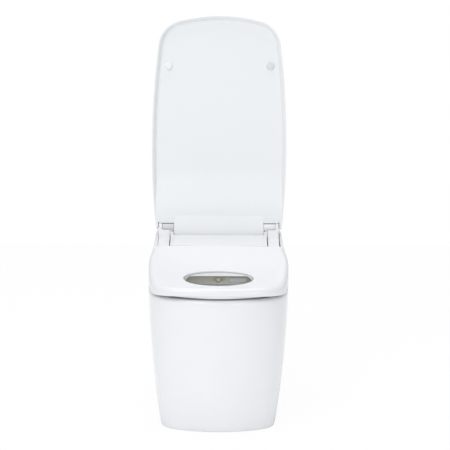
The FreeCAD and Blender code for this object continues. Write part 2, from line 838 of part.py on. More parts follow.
def make_lid():
    """A tray with a thin lip and a sloped border, a tail between the hinges, lugs and knuckles."""
    low = -lid_lip_offset
    top = lid_depth - lid_lip_offset
    tray = plan_prism(lid_plan, low, top)
    edges = [e for e in tray.Edges if e.BoundBox.ZMin > top - overrun / 2
             and e.BoundBox.YMin < -lid_foot - overrun]
    tray = tray.makeChamfer(lid_edge_bevel, edges)
    mouth = inset_plan(lid_plan, lid_lip, lid_band - lid_foot)
    floor = inset_plan(lid_plan, lid_lip + lid_border, lid_band - lid_foot + lid_border)
    pocket = Part.makeLoft([plan_wire(mouth, low), plan_wire(floor, low + lid_tray_depth)], True, True)
    tail = block(-lid_tail_half, lid_tail_half, -lid_foot - overrun, lid_tail, low, top)
    tail_edges = [e for e in tail.Edges if e.BoundBox.YMin > lid_tail - overrun / 2
                  and e.BoundBox.XLength > lid_tail_half]
    tail = tail.makeFillet(lid_tail_round, tail_edges)
    lug_y = -lid_foot - lug_inset
    lug = block(lid_tail_half, lug_outer, lug_y - lug_height, lug_y, low - lug_rise, low + lug_rise)
    knuckle = rod(vec(lid_tail_half - lid_knuckle_width, 0, 0), X_AXIS, barrel_radius, lid_knuckle_width)
    lid = tray.cut(pocket).fuse([tail, lug, mirrored(lug), knuckle, mirrored(knuckle)])
    pin_hole = rod(vec(lid_tail_half - lid_knuckle_width - overrun, 0, 0), X_AXIS,
                   hinge_pin_radius + fit_gap, lid_knuckle_width + 2 * overrun)
    lid = lid.cut(pin_hole).cut(mirrored(pin_hole))
    return raised(lid)


def make_lid_buffers():
    """Two round rubber bumpers that land on the seat."""
    floor = lid_tray_depth - lid_lip_offset
    pad = rod(vec(lid_buffer_x, -lid_buffer_reach, floor), -Z_AXIS, lid_buffer_radius,
              lid_buffer_height)
    rim = [e for e in pad.Edges if e.BoundBox.ZMax < floor - lid_buffer_height + body_gap]
    pad = pad.makeChamfer(lid_buffer_bevel, rim)
    return raised(both_sides(pad))


# Hinge

def make_hinge_bracket():
    """A foot on the housing tray with a post up to the hinge barrel."""
    x0, x1 = barrel_inner + post_inset, barrel_outer - post_inset
    floor = tray_top
    foot = block(x0 - bracket_foot, x1, hinge_y - bracket_foot, hinge_y + bracket_foot, floor,
                 floor + bracket_thickness)
    post = block(x0, x1, hinge_y - post_depth / 2, hinge_y + post_depth / 2, floor, hinge_height)
    barrel = rod(vec(barrel_inner, hinge_y, hinge_height), X_AXIS, barrel_radius,
                 barrel_outer - barrel_inner)
    return foot.fuse(post).cut(barrel)


def make_barrel():
    """The soft-close damper's barrel round the hinge pin."""
    barrel = rod(vec(barrel_inner, hinge_y, hinge_height), X_AXIS, barrel_radius,
                 barrel_outer - barrel_inner)
    return barrel.cut(rod(vec(barrel_inner, hinge_y, hinge_height), X_AXIS, hinge_pin_radius,
                          barrel_outer - barrel_inner))


def make_hinge_pin():
    return rod(vec(pin_inner, hinge_y, hinge_height), X_AXIS, hinge_pin_radius, pin_outer - pin_inner)


# Housing

housing_plan = make_plan(front_y + housing_side_inset, widest_y, half_width - housing_side_inset,
                         rim_front_radius, rim_corner_radius, side_radius, housing_side_radius,
                         wall_y - housing_rear_inset)


def housing_form(inset):
    """The housing's outer form, or the hollow inside it."""
    bottom = rim_height - (overrun if inset else 0)
    front = deck_front_y + inset
    plan = inset_plan(housing_plan, inset, inset)
    rear = housing_plan["back"] - inset
    side = profile_x([(front, bottom), (front, cheek_front - inset), (hinge_y, cheek_rear - inset),
                      (rear, cheek_rear - inset), (rear, bottom)], -half_width, half_width)
    form = plan_prism(plan, bottom, hinge_height).common(side)
    channel_top = hinge_height
    channel = block(deck_half - inset, channel_outer + inset, front - inset - overrun,
                    hinge_y - barrel_radius + channel_past + inset, channel_floor - inset, channel_top)
    well = block(-channel_outer - inset, channel_outer + inset, deck_rear_y - inset,
                 hinge_y + well_depth + inset, well_floor - inset, channel_top)
    form = form.cut(channel).cut(mirrored(channel)).cut(well)
    deck = profile_x([(front, rim_height), (front, deck_height - inset),
                      (deck_rear_y - inset, deck_height + deck_rise - inset),
                      (deck_rear_y - inset, rim_height)], -deck_half + inset, deck_half - inset)
    return form.fuse(deck).removeSplitter()


def make_housing_cover():
    """Deck, channels for the seat's arms, hinge well, cheeks and rear shelf in one shell."""
    cover = housing_form(0.0).cut(housing_form(housing_wall))
    nose = block(-shroud_half - seam, shroud_half + seam, deck_front_y - overrun,
                 deck_front_y + housing_wall + overrun, rim_height - overrun,
                 shroud_rear_top + seam)
    cover = cover.cut(nose)
    x0, x1 = barrel_inner + post_inset - seam, barrel_outer - post_inset + seam
    slot = block(x0, x1, hinge_y - post_depth / 2 - seam, hinge_y + post_depth / 2 + seam,
                 channel_floor - overrun, hinge_height)
    return cover.cut(slot).cut(mirrored(slot))


def make_housing_base():
    """The tray that carries the electric and water pieces, bolted to the ceramic."""
    inset = housing_wall + seam
    tray = plan_prism(inset_plan(housing_plan, inset, inset), rim_height, rim_height + tray_thickness)
    tray = tray.cut(block(-half_width, half_width, front_y - overrun, tray_front_y,
                          rim_height - overrun, rim_height + tray_thickness + overrun))
    for x in (-service_hole_x, service_hole_x):
        tray = tray.cut(rod(vec(x, service_hole_y, rim_height - overrun), Z_AXIS,
                            tray_hole_radius, tray_thickness + 2 * overrun))
    for x in (-bolt_x, bolt_x):
        tray = tray.cut(rod(vec(x, service_hole_y, rim_height - overrun), Z_AXIS, bolt_radius,
                            tray_thickness + 2 * overrun))
    for x in board_xs:
        for y in board_ys:
            tray = tray.fuse(bar(vec(x, y, rim_height), Z_AXIS, peg_radius,
                                 tray_thickness + peg_height))
    return tray


def make_mounting_bolt():
    """A bolt through the tray and the ceramic, with its head inside the housing."""
    length = rim_slab + tray_thickness + overrun
    top = tray_top
    shank = bar(vec(bolt_x, service_hole_y, top - length), Z_AXIS, bolt_radius, length)
    head = bar(vec(bolt_x, service_hole_y, top), Z_AXIS, bolt_radius * 2, screw_head_height)
    return shank.fuse(head)


def make_mounting_nut():
    """The broad plastic nut under the ceramic's shelf."""
    top = rim_height - rim_slab
    nut = bar(vec(bolt_x, service_hole_y, top - nut_height), Z_AXIS, bolt_radius * 3, nut_height)
    return nut.cut(rod(vec(bolt_x, service_hole_y, top - nut_height), Z_AXIS, bolt_radius, nut_height))


# Nozzle unit

def wand_point(back, side=0.0, up=0.0):
    """A place along the wand's axis, counted back from its tip."""
    slope = math.radians(wand_angle)
    y = tip_y + back * math.cos(slope) - up * math.sin(slope)
    z = wand_start_height + back * math.sin(slope) + up * math.cos(slope)
    return vec(side, y, z)


def wand_way():
    """The way the wand slides out: forward and down."""
    return (wand_point(0) - wand_point(1)).normalize()


def wand_up():
    return (wand_point(0, 0, 1) - wand_point(0)).normalize()


def shroud_form(inset):
    """The nose under the seat's rear ramp, or the hollow inside it."""
    front = shroud_front_y + inset
    rear_y = tray_front_y + (overrun if inset else 0)
    rear_top = shroud_top - inset + (rear_y - shroud_front_y) * shroud_slope
    reach = math.sqrt(1 - (shroud_half / (bowl_width / 2)) ** 2)
    step_y = bowl_middle_y + bowl_length / 2 * reach - shroud_step_gap - inset
    floor = rim_height + body_gap + inset
    points = [(front, shroud_bottom + inset), (front, shroud_top - inset + inset * shroud_slope),
              (rear_y, rear_top), (rear_y, floor), (step_y, floor), (step_y, shroud_bottom + inset)]
    half = shroud_half - inset
    return profile_x(points, -half, half)


def make_shroud():
    """The nose's shell with the wand's port, the lamps' holes, the dryer's mouth and the flap's pins."""
    shroud = shroud_form(0.0).cut(shroud_form(shroud_wall))
    port = rod(wand_point(-overrun), -wand_way(), wand_radius + seam, guide_start + 2 * overrun)
    relief = rod(wand_point(guide_start + guide_length), wand_way(),
                 wand_radius + guide_gap + guide_wall + body_gap, guide_length + body_gap)
    shroud = shroud.cut(port).cut(relief)
    for way in (-1, 1):
        x = way * lamp_x
        lamp = block(x - lamp_width / 2 - body_gap, x + lamp_width / 2 + body_gap,
                     shroud_front_y - overrun, shroud_front_y + shroud_wall + overrun / 2,
                     lamp_z - lamp_height / 2 - body_gap, lamp_z + lamp_height / 2 + body_gap)
        shroud = shroud.cut(lamp)
    mouth = block(flap_middle - flap_width / 2 - flap_gap, flap_middle + flap_width / 2 + flap_gap,
                  shroud_front_y - overrun, shroud_front_y + shroud_wall + overrun,
                  flap_z - flap_height / 2 - flap_gap, flap_z + flap_height / 2 + flap_gap)
    shroud = shroud.cut(mouth)
    pin_bore = rod(vec(flap_middle - flap_width / 2 - flap_pin_length - body_gap, flap_pin_y, flap_pin_z),
                   X_AXIS, flap_pin_radius + fit_gap, flap_width + 2 * flap_pin_length + 2 * body_gap)
    return shroud.cut(pin_bore)


def make_lamps():
    """Two amber lenses beside the wand."""
    lamps = []
    for way in (-1, 1):
        x = way * lamp_x
        lens = block(x - lamp_width / 2, x + lamp_width / 2, shroud_front_y,
                     shroud_front_y + shroud_wall + seam, lamp_z - lamp_height / 2,
                     lamp_z + lamp_height / 2)
        upright = [e for e in lens.Edges if e.BoundBox.YLength > shroud_wall]
        lamps.append(lens.makeFillet(seam, upright))
    return Part.makeCompound(lamps)


def make_flap():
    """The dryer's flap, hung from its top edge."""
    plate = block(flap_middle - flap_width / 2, flap_middle + flap_width / 2, shroud_front_y,
                  shroud_front_y + flap_thickness, flap_z - flap_height / 2, flap_z + flap_height / 2)
    corners = [e for e in plate.Edges if e.BoundBox.YLength > flap_thickness / 2
               and e.BoundBox.ZMax < flap_z]
    plate = plate.makeFillet(flap_corner, corners)
    pin = rod(vec(flap_middle - flap_width / 2 - flap_pin_length, flap_pin_y, flap_pin_z), X_AXIS,
              flap_pin_radius, flap_width + 2 * flap_pin_length)
    return plate.fuse(pin)


def wand_box(back0, back1, x0, x1, up0, up1):
    """A box lined up with the wand, counted back from its tip."""
    corners = [wand_point(back0, x0, up0), wand_point(back1, x0, up0), wand_point(back1, x1, up0),
               wand_point(back0, x1, up0)]
    return Part.Face(Part.makePolygon(corners + corners[:1])).extrude(wand_up() * (up1 - up0))


def tooth(start, out, side, width, reach):
    """One straight-sided tooth, drawn up by its width."""
    root, tip = side * (tooth_root / 2), side * (tooth_tip / 2)
    corners = [start - root, start + out * reach - tip, start + out * reach + tip, start + root]
    return Part.Face(Part.makePolygon(corners + corners[:1])).extrude(wand_up() * width)


def make_wand():
    """The wand's tube, with a rack let into its side along the stretch that meets the pinion."""
    tube = rod(wand_point(wand_length), wand_way(), wand_radius, wand_length - tip_length)
    count = int((wand_travel + 4 * rack_pitch) / rack_pitch)
    rack_start = pinion_back - rack_pitch * 1.5
    rack_end = rack_start + count * rack_pitch
    tube = tube.cut(wand_box(rack_start, rack_end, rack_root_x, wand_radius * 2, -wand_radius,
                             wand_radius))
    teeth = []
    for i in range(count):
        back = rack_start + rack_pitch * (i + 0.5)
        start = wand_point(back, rack_root_x - fit_gap, -rack_width / 2)
        teeth.append(tooth(start, X_AXIS, wand_way(), rack_width, tooth_height + fit_gap))
    bore = rod(wand_point(wand_length + overrun), wand_way(), wand_bore_radius,
               wand_length + overrun - tip_length)
    return tube.fuse(teeth).cut(bore)


def make_tip():
    """The wand's round-ended nozzle with its spray hole."""
    tip = rod(wand_point(tip_length), wand_way(), wand_radius, tip_length)
    nose = wand_point(0)
    ends = [e for e in tip.Edges if e.CenterOfMass.distanceToPoint(nose) < body_gap]
    tip = tip.makeChamfer(tip_bevel, ends)
    return tip.cut(rod(wand_point(tip_length / 2, 0.0, 0.0), wand_up(), spray_radius, wand_radius * 2))


def make_guide():
    """The sleeve that the wand runs in, with the shelf for its motor and a leg on the ceramic."""
    end = guide_start + guide_length
    outer = wand_radius + guide_gap + guide_wall
    sleeve = rod(wand_point(end), wand_way(), outer, guide_length)
    shelf_up = -pinion_width / 2 - body_gap - motor_length
    shelf = wand_box(end - guide_wall, pinion_back + motor_radius + shelf_thickness, -guide_wall,
                     pinion_x + motor_radius, shelf_up - shelf_thickness, shelf_up)
    web = wand_box(end - guide_wall, end, -guide_wall, pinion_x + motor_radius,
                   shelf_up - shelf_thickness, 0)
    leg_place = wand_point(pinion_back, 0, shelf_up - shelf_thickness)
    shroud_floor = rim_height + body_gap + shroud_wall
    leg = block(-guide_wall, pinion_x, leg_place.y - guide_wall, leg_place.y + guide_wall,
                shroud_floor, leg_place.z + shelf_thickness / 2)
    body = sleeve.fuse([shelf, web, leg])
    return body.cut(rod(wand_point(wand_length), wand_way(), wand_radius + guide_gap, wand_length))


def pinion_place(up):
    """A place on the pinion's axis."""
    return wand_point(pinion_back, pinion_x, up)


def make_pinion():
    """The pinion with its straight teeth and its shaft."""
    up = wand_up()
    low = -pinion_width / 2
    core_radius = pinion_outer - tooth_height
    body = bar(pinion_place(low), up, core_radius, pinion_width)
    teeth = []
    along = wand_way()
    for i in range(pinion_teeth):
        turn = 2 * math.pi * (i + 0.5) / pinion_teeth
        out = -X_AXIS * math.cos(turn) + along * math.sin(turn)
        side = X_AXIS * math.sin(turn) + along * math.cos(turn)
        start = pinion_place(low) + out * (core_radius - fit_gap * 4)
        teeth.append(tooth(start, out, side, pinion_width, tooth_height + fit_gap * 4))
    shaft = rod(pinion_place(low - motor_length / 2), up, shaft_radius, pinion_width + motor_length / 2)
    return body.fuse(teeth + [shaft])


def make_wand_motor():
    """The small motor under the pinion, with a bore for its shaft."""
    up = wand_up()
    top = -pinion_width / 2 - body_gap
    can = bar(pinion_place(top), -up, motor_radius, motor_length)
    return can.cut(rod(pinion_place(top + body_gap), -up, shaft_radius + fit_gap,
                       motor_length / 2 + 2 * body_gap))


# Dryer

blower_base = vec(blower_x, blower_y, blower_z)


def make_blower_housing():
    """The scroll that holds the wheel, with its mouth towards the duct."""
    drum = bar(blower_base, Z_AXIS, blower_radius, blower_height)
    mouth = block(duct_x0, duct_x1, duct_rear_y, blower_y, blower_base.z,
                  blower_base.z + duct_height)
    body = drum.fuse(mouth)
    inside = bar(blower_base + Z_AXIS * blower_wall, Z_AXIS, blower_radius - blower_wall,
                 blower_height - 2 * blower_wall)
    throat = block(duct_x0 + blower_wall, duct_x1 - blower_wall, duct_rear_y - overrun, blower_y,
                   blower_base.z + blower_wall, blower_base.z + duct_height - blower_wall)
    body = body.cut(inside).cut(throat)
    eye = bar(blower_base - Z_AXIS * overrun, Z_AXIS, wheel_radius / 2, blower_wall + 2 * overrun)
    shaft = rod(blower_base + Z_AXIS * (blower_height - blower_wall - overrun), Z_AXIS,
                shaft_radius + fit_gap, blower_wall + 2 * overrun)
    foot_reach = blower_radius - 2 * blower_wall
    foot_turns = [2 * math.pi * (i + 0.5) / blower_feet for i in range(blower_feet)]
    feet = [bar(vec(blower_x + foot_reach * math.cos(a), blower_y + foot_reach * math.sin(a),
                    tray_top), Z_AXIS, peg_radius, blower_lift + blower_wall / 2) for a in foot_turns]
    return body.cut(eye).cut(shaft).fuse(feet)


def make_blower_wheel():
    """A squirrel-cage wheel: a disc with a hub, a ring of blades and a rim."""
    low = blower_base + Z_AXIS * (blower_wall + seam)
    disc = bar(low + Z_AXIS * (wheel_height - wheel_disc), Z_AXIS, wheel_radius, wheel_disc)
    hub_length = wheel_height / 2
    hub = bar(low + Z_AXIS * (wheel_height - hub_length), Z_AXIS, shaft_radius * 2, hub_length)
    rim = bar(low, Z_AXIS, wheel_radius, wheel_disc)
    rim = rim.cut(bar(low, Z_AXIS, wheel_radius - blade_depth, wheel_disc))
    blades = []
    for i in range(wheel_blades):
        blade = block(wheel_radius - blade_depth, wheel_radius - wheel_disc, -blade_thickness / 2,
                      blade_thickness / 2, 0, wheel_height)
        blade.rotate(vec(wheel_radius - blade_depth, 0, 0), Z_AXIS, blade_lean)
        blade.rotate(ORIGIN, Z_AXIS, 360.0 * i / wheel_blades)
        blade.translate(low)
        blades.append(blade)
    shaft = rod(low + Z_AXIS * (wheel_height - hub_length), Z_AXIS, shaft_radius,
                hub_length + blower_height - wheel_height + shaft_into_motor)
    cage = disc.fuse([rim] + blades)
    return cage.fuse([hub, shaft])


def make_blower_motor():
    """The blower's motor on top of the scroll."""
    low = blower_base + Z_AXIS * blower_height
    can = bar(low, Z_AXIS, blower_motor_radius, blower_motor_height)
    return can.cut(rod(low, Z_AXIS, shaft_radius + fit_gap, shaft_into_motor * 2))


def make_duct():
    """The warm-air duct from the scroll to the flap, bent down at its front."""
    def form(inset, open_ends):
        extra = overrun if open_ends else 0
        top_rear = blower_base.z + duct_height - inset
        low_rear = blower_base.z + inset
        low_front = flap_z - flap_height / 2 + inset
        top_front = flap_z + flap_height / 2 - inset
        points = [(duct_front_y - extra, low_front), (duct_front_y - extra, top_front),
                  (duct_front_y + duct_nose, top_front), (duct_front_y + duct_bend, top_rear),
                  (duct_rear_y - body_gap + extra, top_rear), (duct_rear_y - body_gap + extra, low_rear),
                  (duct_front_y + duct_nose * 3, low_rear), (duct_front_y + duct_nose, low_front)]
        return profile_x(points, duct_x0 + inset, duct_x1 - inset)
    return form(0.0, False).cut(form(blower_wall / 2, True))


# Electric and water pieces

def make_water_heater():
    """The instant heater: a flat tank with two hose stubs."""
    tank = block(-heater_x1, -heater_x0, heater_y0, heater_y1, tray_top,
                 tray_top + heater_height)
    tank = tank.makeFillet(heater_round, [e for e in tank.Edges if e.BoundBox.ZLength > heater_height / 2])
    stubs = [bar(vec(x, heater_y1, heater_stub_z), Y_AXIS, stub_radius, stub_length)
             for x in (-heater_x0 - heater_round, -heater_x1 + heater_round)]
    return tank.fuse(stubs)


def make_inlet_valve():
    """The solenoid inlet valve, with its shank down through the ceramic to the threaded nipple."""
    floor = tray_top
    body = block(-service_hole_x - valve_half, -service_hole_x + valve_half,
                 service_hole_y - valve_half, service_hole_y + valve_half, floor, floor + valve_height)
    coil = bar(vec(-service_hole_x + valve_half, service_hole_y, floor + valve_height / 2), X_AXIS,
               valve_half / 2, valve_coil)
    shank_end = rim_height - rim_slab - overrun
    shank = bar(vec(-service_hole_x, service_hole_y, shank_end), Z_AXIS, inlet_radius - seam,
                floor - shank_end)
    nipple = rod(vec(-service_hole_x, service_hole_y, shank_end - inlet_length), Z_AXIS,
                 inlet_radius, inlet_length)
    bore = rod(vec(-service_hole_x, service_hole_y, shank_end - inlet_length - overrun), Z_AXIS,
               inlet_bore_radius, inlet_length + rim_slab + overrun)
    return body.fuse([coil, shank, nipple]).cut(bore)


def make_flush_valve():
    """The flush valve under the rear shelf, its outlet pipe up in the ceramic's feed hole."""
    top = rim_height - rim_slab
    pipe = bar(vec(0, feed_y, top - flush_drop), Z_AXIS, feed_radius, flush_drop + feed_seat)
    body = bar(vec(0, feed_y, top - flush_drop - flush_height), Z_AXIS, flush_radius, flush_height)
    coil = bar(vec(0, feed_y, top - flush_drop - flush_height / 2), Y_AXIS, flush_radius / 2,
               flush_radius + flush_coil)
    return body.fuse([pipe, coil])


def make_control_board():
    """The control board on its pegs, with its tallest parts."""
    floor = tray_top + peg_height
    board = block(board_xs[0] - board_margin, board_xs[1] + board_margin, board_ys[0] - board_margin,
                  board_ys[1] + board_margin, floor, floor + board_thickness)
    middle_x = (board_xs[0] + board_xs[1]) / 2
    middle_y = (board_ys[0] + board_ys[1]) / 2
    chip = block(middle_x - chip_half, middle_x + chip_half, middle_y - chip_half, middle_y + chip_half,
                 floor + board_thickness, floor + board_thickness * 2)
    pitch = (board_xs[1] - board_xs[0]) / relay_count
    relays = [block(board_xs[0] + i * pitch, board_xs[0] + i * pitch + chip_half, board_ys[0],
                    board_ys[0] + chip_half, floor + board_thickness,
                    floor + board_thickness + chip_half) for i in range(relay_count)]
    return board.fuse([chip] + relays)


def make_power_supply():
    """The power supply's can on the tray."""
    floor = tray_top
    return block(supply_from_middle, supply_x1, board_ys[0] - board_margin,
                 board_ys[1] + board_margin, floor, floor + supply_height)


def make_gland():
    """The power inlet gland through the tray and the ceramic's right-hand hole."""
    floor = tray_top
    flange = bar(vec(service_hole_x, service_hole_y, floor), Z_AXIS, service_hole_radius,
                 bracket_thickness)
    barrel = bar(vec(service_hole_x, service_hole_y, floor - gland_length), Z_AXIS,
                 tray_hole_radius - body_gap, gland_length)
    bore = rod(vec(service_hole_x, service_hole_y, floor - gland_length - overrun), Z_AXIS,
               gland_bore_radius, gland_length + bracket_thickness + 2 * overrun)
    return flange.fuse(barrel).cut(bore)


def build():
    """Write every sub-part."""
    export("ceramic_body", make_ceramic())
    export("outlet_gasket", make_gasket())
    export("floor_brackets", both_sides(make_floor_bracket()))
    export("side_screws", both_sides(make_side_screw()))
    export("side_caps", both_sides(make_side_cap()))
    shell, base, heater = make_seat()
    export("seat_shell", shell)
    export("seat_base", base)
    export("seat_heater", heater)
    export("seat_buffers", make_seat_buffers())
    export("lid_shell", make_lid())
    export("lid_buffers", make_lid_buffers())
    export("hinge_brackets", both_sides(make_hinge_bracket()))
    export("hinge_pins", both_sides(make_hinge_pin()))
    export("lid_damper", mirrored(make_barrel()))
    export("seat_damper", make_barrel())
    export("housing_cover", make_housing_cover())
    export("housing_base", make_housing_base())
    export("mounting_bolts", both_sides(make_mounting_bolt()))
    export("mounting_nuts", both_sides(make_mounting_nut()))
    export("nozzle_shroud", make_shroud())
    export("night_lamps", make_lamps())
    export("dryer_flap", make_flap())
    export("spray_wand", make_wand())
    export("wand_tip", make_tip())
    export("wand_guide", make_guide())
    export("wand_pinion", make_pinion())
    export("wand_motor", make_wand_motor())
    export("blower_housing", make_blower_housing())
    export("blower_wheel", make_blower_wheel())
    export("blower_motor", make_blower_motor())
    export("dryer_duct", make_duct())
    export("water_heater", make_water_heater())
    export("inlet_valve", make_inlet_valve())
    export("flush_valve", make_flush_valve())
    export("control_board", make_control_board())
    export("power_supply", make_power_supply())
    export("power_gland", make_gland())


build()
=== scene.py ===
"""A white bidet toilet, seen from the front with its lid up, in metres."""
import json
import math

import bmesh
import bpy
import numpy as np
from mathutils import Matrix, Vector


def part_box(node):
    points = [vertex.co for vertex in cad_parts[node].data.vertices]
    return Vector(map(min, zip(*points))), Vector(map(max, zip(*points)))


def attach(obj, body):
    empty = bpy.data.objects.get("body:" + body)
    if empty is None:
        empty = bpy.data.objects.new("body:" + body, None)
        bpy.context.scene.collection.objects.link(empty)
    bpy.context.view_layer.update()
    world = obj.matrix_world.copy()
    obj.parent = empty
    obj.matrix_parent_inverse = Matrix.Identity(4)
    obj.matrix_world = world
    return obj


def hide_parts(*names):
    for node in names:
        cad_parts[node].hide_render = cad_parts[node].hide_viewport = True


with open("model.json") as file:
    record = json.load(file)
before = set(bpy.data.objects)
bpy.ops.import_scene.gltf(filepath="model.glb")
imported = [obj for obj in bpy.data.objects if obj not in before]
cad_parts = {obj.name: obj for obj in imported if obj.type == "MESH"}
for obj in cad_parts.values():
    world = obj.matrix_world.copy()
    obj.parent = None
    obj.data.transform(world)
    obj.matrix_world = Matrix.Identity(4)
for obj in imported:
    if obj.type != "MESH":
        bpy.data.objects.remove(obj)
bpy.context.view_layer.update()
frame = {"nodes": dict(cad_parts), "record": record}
nodes = frame["nodes"]


# Camera: standing eye level, a long way back with a long lens, as in a catalogue picture. It looks
# down a little, and its small turn aside and its roll are the photograph's own.

eye_height = 1.899
eye_distance = 8.0
look_down = math.radians(9.78)
look_aside = math.radians(0.072)
roll = math.radians(0.31)
lens_mm, sensor_mm, far_clip = 231.3, 36, 60

camera = bpy.data.objects.new("camera", bpy.data.cameras.new("camera"))
bpy.context.scene.collection.objects.link(camera)
camera.data.lens = lens_mm
camera.data.sensor_width = sensor_mm
camera.data.clip_end = far_clip
camera.location = (0, -eye_distance, eye_height)
camera.rotation_euler = (math.pi / 2 - look_down, -roll, -look_aside)
bpy.context.scene.camera = camera


# Floor and light: a white studio sheet that keeps a faint shadow, and soft lamps, the strongest
# from the upper left. The room is white to the camera and slightly blue to everything else.

floor_half = 2.6
floor_white = "#FFFFFF"
shadow_share = 0.07
room_colour, room_strength = "#F6F8FB", 0.64
# each lamp's name, place, side and watts
lamp_plan = (("key", (-2.4, -3.8, 3.9), 2.6, 71.0), ("fill", (2.2, -4.6, 0.75), 1.3, 17.0),
             ("top", (0.0, 0.6, 4.4), 2.6, 54.0), ("front", (-0.5, -6.5, 2.6), 1.6, 25.0))
lamp_aim = Vector((0, 0, 0.5))
merge_reach, crease_degrees = 1e-6, 35.0


def srgb(code):
    """An sRGB hex colour as linear red, green, blue and alpha."""
    parts = np.array([int(code[i:i + 2], 16) for i in (1, 3, 5)]) / 255
    linear = np.where(parts <= 0.04045, parts / 12.92, ((parts + 0.055) / 1.055) ** 2.4)
    return (*linear, 1.0)


def add_node(tree, kind, settings=None, **links):
    """A shader node with its input values, its settings and what feeds it."""
    node = tree.nodes.new(kind)
    for name, value in (settings or {}).items():
        if name in node.inputs:
            node.inputs[name].default_value = value
        else:
            setattr(node, name, value)
    for name, source in links.items():
        tree.links.new(source, node.inputs[name.replace("_", " ")])
    return node


def add_piece(name, mesh):
    """An object for a mesh, in the scene."""
    piece = bpy.data.objects.new(name, mesh)
    bpy.context.scene.collection.objects.link(piece)
    return piece


def shade_smooth(mesh, sharp_degrees=crease_degrees):
    """Makes a mesh smooth but for the edges that turn more than an angle."""
    mesh.polygons.foreach_set("use_smooth", np.ones(len(mesh.polygons), bool))
    mesh.set_sharp_from_angle(angle=math.radians(sharp_degrees))


def surface_mesh(name, points, faces, sharp_degrees=crease_degrees):
    """An object from points and faces: doubles merged, smooth but for its sharp edges."""
    mesh = bpy.data.meshes.new(name)
    mesh.from_pydata(np.asarray(points, float).tolist(), [], np.asarray(faces).tolist())
    shape = bmesh.new()
    shape.from_mesh(mesh)
    bmesh.ops.remove_doubles(shape, verts=shape.verts, dist=merge_reach)
    shape.to_mesh(mesh)
    shape.free()
    shade_smooth(mesh, sharp_degrees)
    mesh.update()
    return add_piece(name, mesh)


corners = np.array([[-1, -1, 0], [1, -1, 0], [1, 1, 0], [-1, 1, 0]]) * floor_half
floor = surface_mesh("studio_floor", corners, np.array([[0, 1, 2, 3]]))
floor_material = bpy.data.materials.new("white studio sheet")
floor_material.use_nodes = True
tree = floor_material.node_tree
tree.nodes.clear()
paper = add_node(tree, "ShaderNodeBsdfDiffuse", {"Color": srgb(floor_white)})
glow = add_node(tree, "ShaderNodeEmission", {"Color": (1, 1, 1, 1), "Strength": 1.0})
path = add_node(tree, "ShaderNodeLightPath")
seen = add_node(tree, "ShaderNodeMath", {"operation": "MULTIPLY"})
tree.links.new(path.outputs["Is Camera Ray"], seen.inputs[0])
seen.inputs[1].default_value = 1 - shadow_share
mix = add_node(tree, "ShaderNodeMixShader")
tree.links.new(seen.outputs[0], mix.inputs[0])
tree.links.new(paper.outputs[0], mix.inputs[1])
tree.links.new(glow.outputs[0], mix.inputs[2])
out = add_node(tree, "ShaderNodeOutputMaterial")
tree.links.new(mix.outputs[0], out.inputs["Surface"])
floor.data.materials.append(floor_material)

world = bpy.data.worlds.new("studio")
bpy.context.scene.world = world
world.use_nodes = True
tree = world.node_tree
tree.nodes.clear()
path = add_node(tree, "ShaderNodeLightPath")
room = add_node(tree, "ShaderNodeBackground",
                {"Color": srgb(room_colour), "Strength": room_strength})
white = add_node(tree, "ShaderNodeBackground", {"Color": (1, 1, 1, 1), "Strength": 1.0})
mix = add_node(tree, "ShaderNodeMixShader")
tree.links.new(path.outputs["Is Camera Ray"], mix.inputs[0])
tree.links.new(room.outputs[0], mix.inputs[1])
tree.links.new(white.outputs[0], mix.inputs[2])
out = add_node(tree, "ShaderNodeOutputWorld")
tree.links.new(mix.outputs[0], out.inputs["Surface"])

for name, place, size, power in lamp_plan:
    lamp = bpy.data.objects.new(name, bpy.data.lights.new(name, "AREA"))
    bpy.context.scene.collection.objects.link(lamp)
    lamp.data.shape = "SQUARE"
    lamp.data.size = size
    lamp.data.energy = power
    lamp.location = place
    lamp.rotation_euler = (lamp_aim - lamp.location).to_track_quat("-Z", "Y").to_euler()

bpy.context.scene.view_settings.view_transform = "Standard"


# Ceramic body: one hollow casting of glazed vitreous china that stands on the floor. Its skirt
# flares out as it rises to a rounded rim, its back is open round the pipes, and the bowl hangs
# inside it with the trapway behind.

body_half, rim_z, wall_y, front_y, widest_y = 0.195, 0.370, 0.345, -0.345, -0.050
foot_half, foot_setback, flare_power, flare_end = 0.163, 0.028, 1.7, 0.014
front_radius, front_tighter, corner_radius, corner_tighter = 0.240, 0.010, 0.125, 0.050
side_radius, rear_radius = 1.8, 6.0
rim_round, foot_round, skin_wall, ceiling_z = 0.010, 0.003, 0.013, 0.344
bowl_y, bowl_half_x, bowl_half_y, bowl_depth = -0.120, 0.128, 0.168, 0.220
bowl_shift, bowl_wall, bowl_roof, bowl_underside = 0.058, 0.011, 0.030, 0.012
bowl_heights = (1.0, 0.8, 0.6, 0.4, 0.25, 0.12, 0.0)
bowl_widths = (1.0, 0.95, 0.86, 0.73, 0.61, 0.49, 0.34)
bowl_lengths = (1.0, 0.945, 0.845, 0.70, 0.57, 0.44, 0.30)
bowl_shifts = (0.0, 0.08, 0.24, 0.47, 0.66, 0.83, 1.0)
bowl_curve_power = 4
# the sump's rings, as a share of the bowl's last ring and a depth below it
sump_steps = ((0.66, 0.012), (0.6, 0.05), (0.0, 0.052))
service_x, service_z, lip_round, lip_share = 0.095, 0.190, 0.008, 1.8
trap_radius, low_bend, top_bend, rise, outlet_y = 0.037, 0.046, 0.044, math.radians(60), 0.145
trap_drop, trap_start_z, trap_end_z = 0.032, 0.160, 0.060
